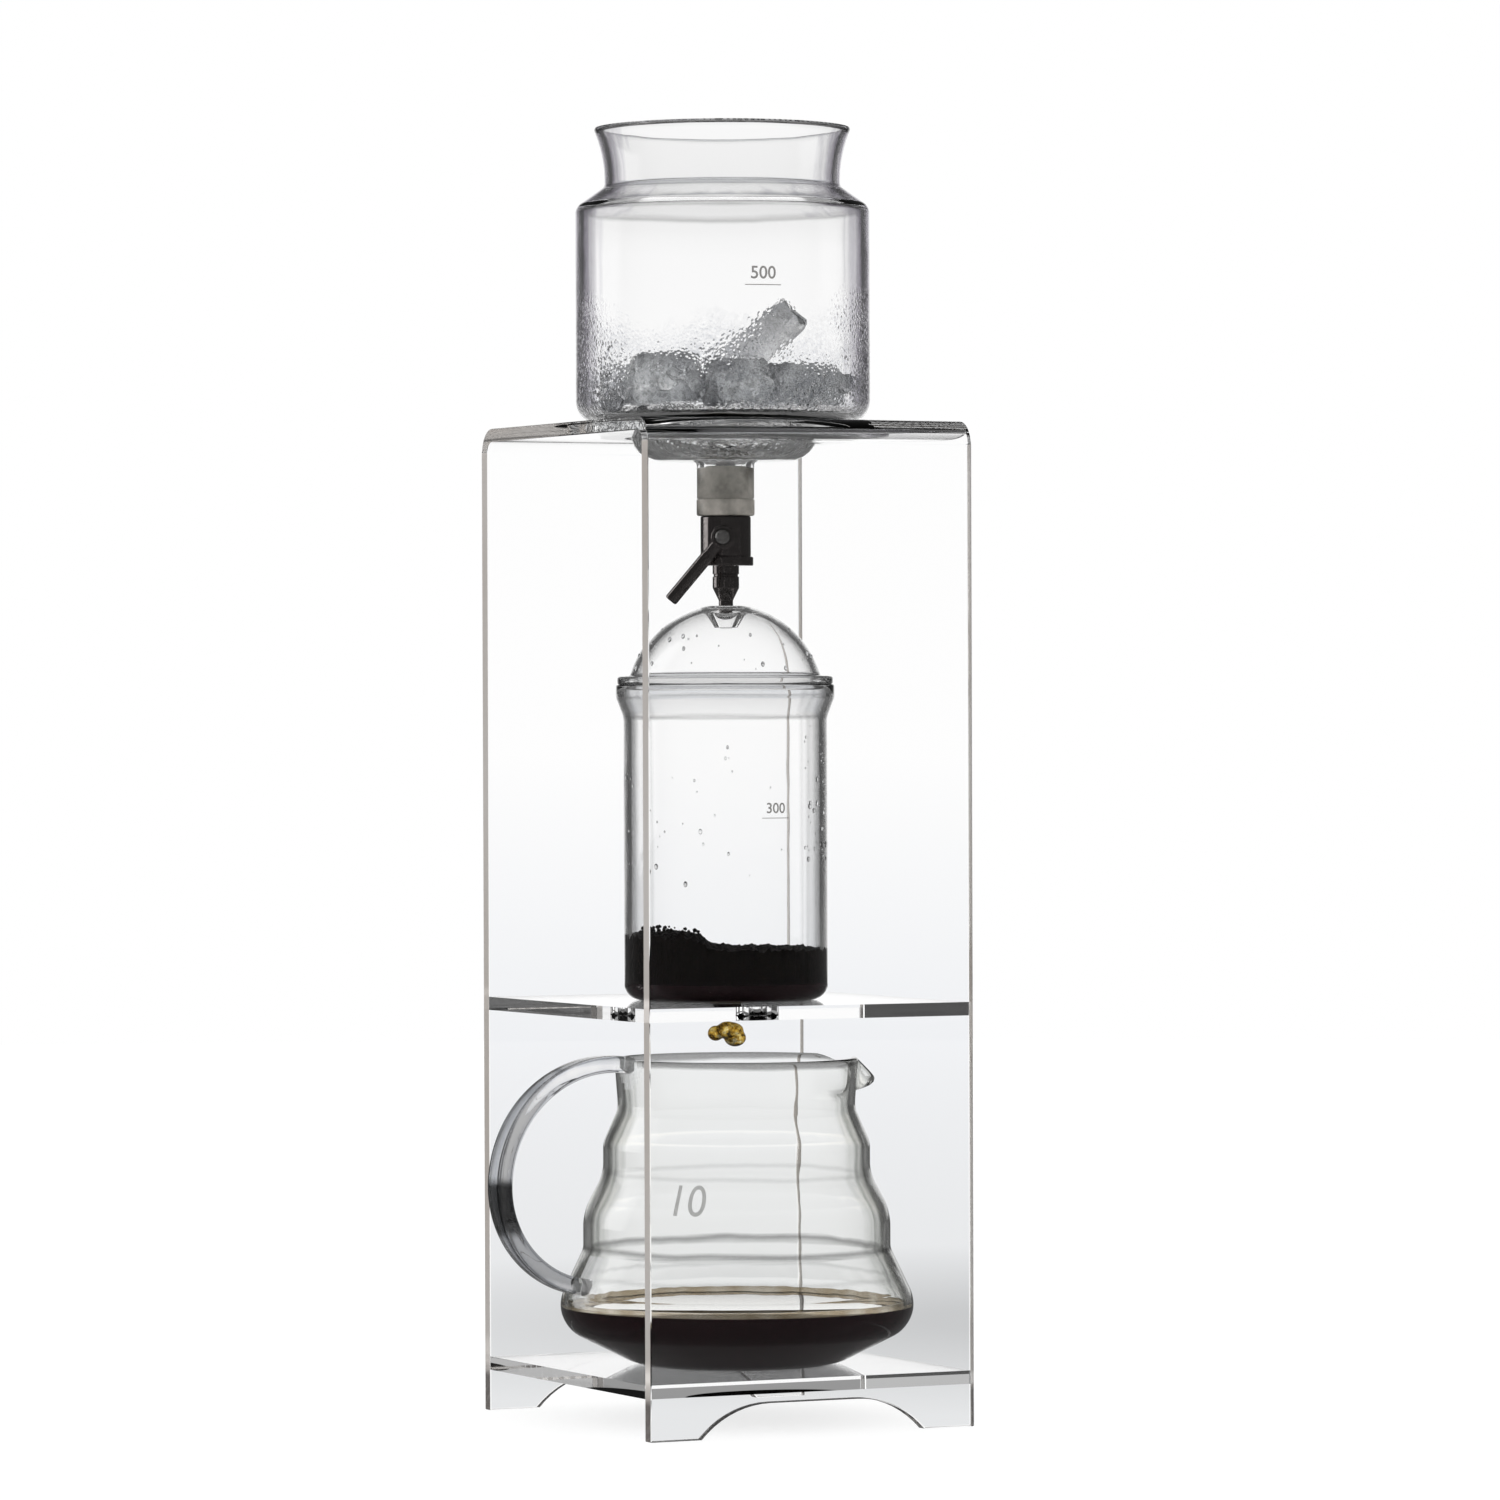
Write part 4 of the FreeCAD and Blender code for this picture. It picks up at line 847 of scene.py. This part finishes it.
def dome_lid():
    centre = (0, LID_SKIRT - DOME_DROP)
    inner = DOME_RADIUS - LID_WALL
    foot = math.sqrt(DOME_RADIUS ** 2 - (DOME_DROP + LID_FLANGE) ** 2)
    throat = centre[1] + math.sqrt(DOME_RADIUS ** 2 - FUNNEL_MOUTH ** 2) - FUNNEL_DEPTH
    outer_dome = arc(centre, DOME_RADIUS, math.acos(foot / DOME_RADIUS),
                     math.acos(FUNNEL_MOUTH / DOME_RADIUS), 24)
    inner_dome = arc(centre, inner, math.acos((FUNNEL_MOUTH + LID_WALL) / inner),
                     math.asin(DOME_DROP / inner), 24)
    bm = turned([
        (inner_dome[-1][0], 0), (SKIRT_RADIUS, 0, 0.6), (SKIRT_RADIUS, LID_SKIRT, 0.3),
        (LID_FLANGE_RADIUS, LID_SKIRT, 0.7), (LID_FLANGE_RADIUS, LID_SKIRT + LID_FLANGE, 1),
        (*outer_dome[0], 1.2), *outer_dome[1:-1], (*outer_dome[-1], 1.2), (FUNNEL_THROAT, throat, 0.3),
        (FUNNEL_THROAT + LID_WALL, throat, 0.3), (*inner_dome[0], 1.5), *inner_dome[1:]],
        steps=128, closed=True, arc_steps=4)
    finished("glass_lid", bm, "lid", [LID_GLASS], ["dome_lid"], (TOWER_X, 0, LID_FOOT))


def dripper():
    bm = turned([
        (OUTLET_RADIUS, 0), (OUTLET_RADIUS, OUTLET_DROP, 1), (DRIPPER_RADIUS, OUTLET_DROP, 6),
        (DRIPPER_RADIUS, DRIPPER_TOP - RIM_HEIGHT - RIM_TAPER, 7.5),
        (RIM_RADIUS, DRIPPER_TOP - RIM_HEIGHT, 3.5), (RIM_RADIUS, DRIPPER_TOP)], steps=128)
    add_wall(bm, DRIPPER_WALL)
    ease_edges(bm, 0.8, steps=3, chosen=near_height(DRIPPER_TOP, 0.3))
    ease_edges(bm, 0.5, chosen=near_height(0, 0.3))
    finished("glass_dripper", bm, "dripper", [DRIPPER_GLASS], ["dripper_glass"],
             (TOWER_X, 0, DRIPPER_FOOT))


def grounds():
    """Wet grounds against the glass, higher on one side, with crumbs on top."""
    radius = DRIPPER_RADIUS - DRIPPER_WALL + WETTING
    foot, high = foot_of("coffee_grounds"), top_of("coffee_grounds")
    low = high - 5.7
    slope_start = -9
    bm = bmesh.new()
    bmesh.ops.create_grid(bm, x_segments=90, y_segments=90, size=radius)
    for vert in bm.verts:
        limit = max(abs(vert.co.x), abs(vert.co.y)) or 1
        vert.co.xy *= limit / (vert.co.xy.length or 1)
    turn = Matrix.Rotation(math.radians(-26), 3, "Z")
    for vert in bm.verts:
        across = (turn.transposed() @ vert.co).x
        slope = 1 / (1 + math.exp((across - slope_start) / 2.2))
        lumps = noise.noise(vert.co * 0.2) * 1.5 + noise.noise(vert.co * 0.7) * 2.2
        level = low - 0.6 + (high - low - 0.6) * slope + lumps * (0.55 + 0.45 * slope)
        vert.co.z = min(level, high - 0.05)
    for item in bmesh.ops.extrude_edge_only(bm, edges=open_edges(bm))["geom"]:
        if isinstance(item, bmesh.types.BMVert):
            item.co.z = foot
    close_up(bm)
    chance = random.Random(11)
    for _ in range(CRUMBS):
        size = chance.uniform(0.35, 1.0)
        across = slope_start - chance.random() ** 0.6 * 22
        along = chance.uniform(-1, 1) * math.sqrt((radius - 1.5) ** 2 - across ** 2)
        spot = turn @ Vector((across, along, 0))
        spot.z = high - 0.6 + chance.random() ** 2 * 2.5
        append_form(bm, round_drop(size, (1, 1, 1), spot, 1))
    finished("wet_grounds", bm, "dripper", [GROUNDS], ["coffee_grounds"], (TOWER_X, 0, 0),
             crease=80)


def seeped_coffee():
    """Coffee that has run down between the filter's gasket and the glass."""
    floor_z = OUTLET_DROP + DRIPPER_WALL - WETTING
    bore = DRIPPER_RADIUS - DRIPPER_WALL + WETTING
    top = foot_of("coffee_grounds") - DRIPPER_FOOT + 0.1
    skin = 0.14
    bm = turned([
        (20, floor_z), (bore, floor_z, 3.2 + WETTING), (bore, top), (bore - 2 * skin, top),
        (bore - 2 * skin, floor_z + skin, 3.2 - skin), (20, floor_z + skin)], closed=True)
    finished("seeped_coffee", bm, "dripper", [COFFEE], at=(TOWER_X, 0, DRIPPER_FOOT))


def hanging_drop():
    """The golden bead at the outlet: lobes that run together."""
    foot, top = foot_of("coffee_drop"), top_of("coffee_drop")
    whole = bmesh.new()
    for middle, size in (
            ((0.8, 0, top - 3.4), (5.6, 5.2, 3.3)), ((3.0, -0.4, foot + 3.4), (4.2, 4.2, 3.4)),
            ((-4.0, 1.8, top - 4.4), (3.1, 3.0, 2.9)), ((0.4, 0.6, top - 1.2), (3.0, 3.0, 1.2))):
        append_form(whole, round_drop(1, size, middle, 3))
    piece = finished("hanging_drop", whole, "dripper", [DROP], ["coffee_drop"],
                     (TOWER_X, 0, 0))
    blend = piece.modifiers.new("run_together", "REMESH")
    blend.mode = "VOXEL"
    blend.voxel_size = 0.35 * MM
    blend.use_smooth_shade = True
    piece.modifiers.new("soften", "SMOOTH").iterations = 6


# ---- carafe

def pull_spout(bm):
    """Draw the rim out into a spout on the +X side."""
    for vert in bm.verts:
        angle = abs(math.atan2(vert.co.y, vert.co.x))
        if angle > SPOUT_WIDTH or vert.co.z < SPOUT_START:
            continue
        side = math.cos(angle / SPOUT_WIDTH * math.pi / 2) ** 2.2
        rise = min(1, (vert.co.z - SPOUT_START) / (CARAFE_HEIGHT - SPOUT_START))
        rise = rise * rise * (3 - 2 * rise)
        radius = vert.co.xy.length
        vert.co.xy *= (radius + (SPOUT_REACH - LIP_RADIUS) * side * rise) / radius
        vert.co.z -= SPOUT_DROP * side * rise
        vert.co.y *= 1 - 0.25 * side * rise


def carafe():
    """The wavy vessel, with rows for the spout near its rim, and its handle."""
    rows = [(NECK_RADIUS + (LIP_RADIUS - NECK_RADIUS) * i / LIP_ROWS,
             SPOUT_START + (CARAFE_HEIGHT - SPOUT_START) * i / LIP_ROWS)
            for i in range(1, LIP_ROWS + 1)]
    bm = turned([
        (0, 0), (CARAFE_BASE, 0, CARAFE_BASE_ROUND), (BELLY_RADIUS, BELLY_FOOT, BELLY_ROUND),
        (BELLY_RADIUS, 25.2, BELLY_ROUND), (57.4, 43.3, 6), (57.4, 57, 20), (49.8, 71.5, 15),
        (49.8, 83.3, 10), (NECK_RADIUS, NECK_HEIGHT, 8), *rows], steps=180, arc_steps=8)
    pull_spout(bm)
    add_wall(bm, CARAFE_WALL)
    ease_edges(bm, 0.8, steps=3, chosen=lambda edge: min(vert.co.z for vert in edge.verts) > 90)
    skin = BVHTree.FromBMesh(bm)
    bm = fused(bm, handle(skin))
    for face in bm.faces:
        middle = face.calc_center_median()
        if min((middle - root).length for root in HANDLE_ROOTS) < ROOT_REACH:
            face.material_index = 2
        elif middle.x < 0 and skin.find_nearest(middle)[3] > 0.02:
            face.material_index = 1
    finished("glass_carafe", bm, "carafe", [CARAFE_GLASS, HANDLE_GLASS, ROOT_GLASS],
             ["carafe", "carafe_handle"], (CARAFE_X, 0, BASE_SHELF_TOP))


def fused(first, second):
    """One form from two that overlap, with no wall between them."""
    parts = [in_scene("part", as_mesh("part", bm)) for bm in (first, second)]
    union = parts[0].modifiers.new("union", "BOOLEAN")
    union.operation = "UNION"
    union.solver = "EXACT"
    union.object = parts[1]
    whole = bmesh.new()
    whole.from_object(parts[0], bpy.context.evaluated_depsgraph_get())
    for part in parts:
        bpy.data.meshes.remove(part.data)
    return whole


def handle(skin):
    """Strap of even section along two arcs, its ends sunk a little into the vessel's wall."""
    whole = bmesh.new()
    for arc_radius, sweep in ((HANDLE_UPPER, 101.5), (HANDLE_LOWER, -85.5)):
        bm = bmesh.new()
        bmesh.ops.create_grid(bm, x_segments=1, y_segments=1, size=0.5)
        bmesh.ops.scale(bm, vec=(HANDLE_THICK, HANDLE_WIDE, 1), verts=bm.verts)
        round_off(bm, bm.verts[:], 2.7, 5, "VERTICES")
        bmesh.ops.translate(bm, vec=(-HANDLE_REACH, 0, HANDLE_HEIGHT), verts=bm.verts)
        outline = bm.edges[:] + bm.verts[:]
        bmesh.ops.delete(bm, geom=bm.faces[:], context="FACES_ONLY")
        bmesh.ops.spin(bm, geom=outline, cent=(arc_radius - HANDLE_REACH, 0, HANDLE_HEIGHT),
                       axis=(0, 1, 0), dvec=(0, 0, 0), angle=math.radians(sweep), steps=44,
                       use_merge=False, use_duplicate=False)
        append_form(whole, bm)
    bmesh.ops.remove_doubles(whole, verts=whole.verts[:], dist=0.01)
    for vert in whole.verts:
        if vert.is_boundary:
            start = Vector((-HANDLE_REACH, vert.co.y, min(vert.co.z, CARAFE_HEIGHT - 2)))
            vert.co.x = skin.ray_cast(start, Vector((1, 0, 0)))[0].x + 1
    close_up(whole)
    return whole


def coffee():
    """Coffee against the glass, with a brown film that climbs the wall."""
    level = top_of("brewed_coffee") - BASE_SHELF_TOP
    inset = CARAFE_WALL - WETTING
    slope = BELLY_FOOT / (BELLY_RADIUS - CARAFE_BASE)
    steep = math.sqrt(1 + slope ** 2)
    edge = BELLY_RADIUS - inset
    film, dip = 1.3, 1.2
    bm = turned([
        (0, inset), (CARAFE_BASE - inset * (steep - 1) / slope, inset, CARAFE_BASE_ROUND - inset),
        (edge, BELLY_FOOT + inset * (steep - slope), BELLY_ROUND - inset), (edge, level),
        (edge - 0.3, level + film), (edge - 0.8, level + film), (edge - 0.9, level - 0.9),
        (edge - 2.6, level - dip), (0, level - dip)], steps=180, arc_steps=8)
    for face in bm.faces:
        middle = face.calc_center_median()
        if middle.z > level - 1.1 and middle.xy.length > edge - 3:
            face.material_index = 1
        elif face.normal.z > 0.5:
            face.material_index = 2
    finished("coffee_in_carafe", bm, "carafe", [COFFEE, COFFEE_FILM, COFFEE_TOP], ["brewed_coffee"],
             (CARAFE_X, 0, BASE_SHELF_TOP))


# ---- prints and dew

# The way from the tower's axis towards the front, as an angle round Z
FRONT = math.radians(-116.25)


def glass_skin(piece):
    """A search tree of a glass piece's mesh."""
    bm = bmesh.new()
    bm.from_mesh(piece.data)
    tree = BVHTree.FromBMesh(bm)
    bm.free()
    return tree


def on_glass(skin, axis_x, angle, height, lift=0):
    """The point of a glass's outer skin at this angle and height, in millimetres."""
    way = Vector((math.cos(angle), math.sin(angle), 0))
    outside = Vector((axis_x, 0, height)) + way * 200
    return skin.ray_cast(outside * MM, -way)[0] / MM + way * lift


def number_print(name, words, size, glass, body, axis_x, across, height, bold=0.012):
    """A number printed on a glass, across millimetres to the right of its front. A bold one has a line
    below it."""
    text = bpy.data.curves.new(name, "FONT")
    text.body = words
    text.size = size
    text.align_x = "CENTER"
    text.offset = size * bold
    holder = bpy.data.objects.new(name + "_outline", text)
    bm = bmesh.new()
    bm.from_mesh(holder.to_mesh())
    bpy.data.objects.remove(holder)
    bpy.data.curves.remove(text)
    if bold:
        bar = bmesh.ops.create_grid(bm, x_segments=12, y_segments=1, size=0.5)["verts"]
        bmesh.ops.scale(bm, vec=(size * 2.1, size * 0.05, 1), verts=bar)
        bmesh.ops.translate(bm, vec=(0, -size * 0.35, 0), verts=bar)
    for step in range(-20, 21):
        for axis in ((0, 1, 0), (1, 0, 0)):
            cut_across(bm, Vector(axis) * step * 0.8, axis)
    skin = glass_skin(glass)
    radius = (on_glass(skin, axis_x, FRONT, height).xy - Vector((axis_x, 0))).length
    middle = FRONT + math.asin(across / radius)
    for vert in bm.verts:
        vert.co = on_glass(skin, axis_x, middle + vert.co.x / radius, height + vert.co.y, lift=0.04)
    finished(name, bm, body, [PRINT if bold else PALE_PRINT])


def dewdrops(name, glass, body, count, low, high, seed, fronts=(-80, 80)):
    """Drops that cling to a glass between two heights."""
    chance = random.Random(seed)
    skin = glass_skin(glass)
    whole = bmesh.new()
    for _ in range(count):
        angle = FRONT + math.radians(chance.uniform(*fronts))
        size = 0.3 + 0.75 * chance.random() ** 2
        spot = on_glass(skin, TOWER_X, angle, chance.uniform(low, high))
        append_form(whole, round_drop(size, (0.8, 0.8, 1.15), spot, 2))
    finished(name, whole, body, [DEWDROP])


def prints_and_dew():
    bowl, lid, cylinder, jug = (bpy.data.objects["glass_" + name]
                                for name in ("bowl", "lid", "dripper", "carafe"))
    number_print("bowl_mark", "500", 6.6, bowl, "bowl", TOWER_X, 15.2, 425.5)
    number_print("dripper_mark", "300", 5.4, cylinder, "dripper", TOWER_X, 18.4, 228)
    number_print("carafe_mark", "10", 16, jug, "carafe", CARAFE_X, -19.4, 79.5, bold=0)
    dewdrops("dome_dew", lid, "lid", 26, LID_FOOT + 8, LID_FOOT + 24, 5)
    dewdrops("dripper_side_dew", cylinder, "dripper", 40, DRIPPER_FOOT + 60, DRIPPER_FOOT + 112, 9,
             fronts=(48, 78))
    dewdrops("dripper_dew", cylinder, "dripper", 40, DRIPPER_FOOT + 52, DRIPPER_FOOT + 104, 8)


def dress_nodes():
    """Finish the CAD pieces whose shape is already right."""
    for node, material in (
            ("valve_inlet_stem", STEEL), ("valve_ball", STEEL), ("valve_spindle", STEEL),
            ("valve_seats", SEATS), ("spindle_o_ring", SEAL), ("filter_disc", STEEL),
            ("filter_gasket", GASKET)):
        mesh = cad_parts[node].data
        mesh.materials.clear()
        mesh.materials.append(material)


# ---- studio

BACKDROP_WAY = Vector((0.4423, 0.8969, 0))
SIDE_STRIP_WAY = Vector((-0.740, 0.672, 0))
FLOOR_RADIUS = 3.2
FLOOR_DROP = 0.0002
# Middle of a painted shadow on the floor seen through glass, in metres
FLOOR_SHADE = (0.36, 0.33, 0)


def studio_world():
    """White backdrop, and for mirrored rays a dim room with the backdrop on one side and a strip of
    light on the left. What glass bends but doesn't mirror meets a white that fades near the floor."""
    world = bpy.data.worlds.new("studio")
    bpy.context.scene.world = world
    tree = NodeTree(world)
    path = tree.add("LightPath").outputs
    way = tree.add("TexCoord").outputs["Generated"]
    level = tree.vectors("NORMALIZE", tree.vectors("MULTIPLY", way, (1, 1, 0.2)))
    backdrop, strip = (
        tree.between(tree.measure("DOT_PRODUCT", look, centre), dim, bright, edge, full, "SMOOTHSTEP")
        for look, centre, edge, full, dim, bright in ((way, BACKDROP_WAY, 0.93, 0.985, 0.08, 1.0),
                                                      (level, SIDE_STRIP_WAY, 0.94, 0.98, 0.0, 1.5)))
    carried = tree.between(path["Glossy Depth"], 0, 0.5, 2, 4)
    room = tree.maths("ADD", tree.maths("ADD", backdrop, strip), carried)
    shade_seen_through = tree.ramp(tree.between(tree.part(way, "Z"), 0, 1, -0.05, -0.006),
                     [(0, (0.86, 0.875, 0.90)), (1, 1)])
    mirrored = tree.maths("GREATER_THAN", path["Glossy Depth"], 0.5)
    seen = tree.mixed(path["Is Camera Ray"], tree.mixed(mirrored, shade_seen_through, room), rgba(1))
    tree.put(tree.nodes["Background"], Color=seen)


def floor():
    """Pale floor that fades into the backdrop and keeps a faint shadow. Seen through glass it shows
    painted shade, greyer towards the middle, and a painted shadow round FLOOR_SHADE.
    """
    bm = bmesh.new()
    bmesh.ops.create_circle(bm, cap_ends=True, segments=96, radius=FLOOR_RADIUS)
    bmesh.ops.translate(bm, vec=(0, 0, -FLOOR_DROP), verts=bm.verts)
    sheet = in_scene("floor", as_mesh("floor", bm))
    material = bpy.data.materials.new("floor_paint")
    sheet.data.materials.append(material)
    tree = NodeTree(material)
    tree.nodes.clear()
    path = tree.add("LightPath").outputs
    place = tree.place()
    paint = tree.add("BsdfDiffuse", rgba(0.34)).outputs["BSDF"]
    glow = tree.add("Emission", Strength=0.74).outputs["Emission"]
    lit = tree.add("AddShader", paint, glow).outputs["Shader"]
    # Painted shade on the floor seen through glass: greyer towards the middle
    far = tree.between(tree.measure("LENGTH", place), 0, 1, 0.15, FLOOR_RADIUS)
    shade_seen_through = tree.ramp(far, [(0, (0.78, 0.79, 0.80)), (1, (0.88, 0.89, 0.91))])
    # Painted shadow: a soft darker patch round FLOOR_SHADE
    shade = tree.between(tree.measure("DISTANCE", place, FLOOR_SHADE), 0.75, 1.02, 0.08, 0.45)
    seen_through = tree.add("Emission", shade_seen_through, shade).outputs["Emission"]
    carried = tree.between(path["Glossy Depth"], 0.12, 0.5, 1, 3)
    dim = tree.add("Emission", Strength=carried).outputs["Emission"]
    mirrored = tree.maths("GREATER_THAN", path["Glossy Depth"], 0.5)
    shown = tree.add("BsdfDiffuse", rgba(0.82)).outputs["BSDF"]
    for choice, look in ((path["Is Transmission Ray"], seen_through), (mirrored, dim),
                         (path["Is Camera Ray"], lit)):
        shown = tree.either(choice, shown, look)
    tree.add("OutputMaterial", shown)


def camera():
    """The view along the near panel, a little above the middle of the tower."""
    data = bpy.data.cameras.new("camera")
    data.sensor_width = 36
    data.lens = 176.25
    data.clip_end = 100
    eye = in_scene("camera", data)
    right = Vector((0.89686372, -0.44229362, -0.0034379))
    up = Vector((0.00528816, 0.00295036, 0.99998167))
    forward = Vector((0.44227537, 0.89686546, -0.00498499))
    place = Matrix.Translation((-1.2132455 + TOWER_X * MM, -2.4821750, 0.265017))
    eye.matrix_world = place @ Matrix((right, up, -forward)).transposed().to_4x4()
    bpy.context.scene.camera = eye


# ---- assembly

for make in (stand_pieces, water_bowl, melt_water_body, ice, tap_pieces, lever_pieces, dome_lid, dripper,
             grounds, seeped_coffee, hanging_drop, carafe, coffee, prints_and_dew, dress_nodes,
             studio_world, floor, camera):
    make()

scene = bpy.context.scene
scene.view_settings.view_transform = "Standard"
scene.cycles.max_bounces = 32
scene.cycles.transmission_bounces = 32
scene.cycles.glossy_bounces = 16
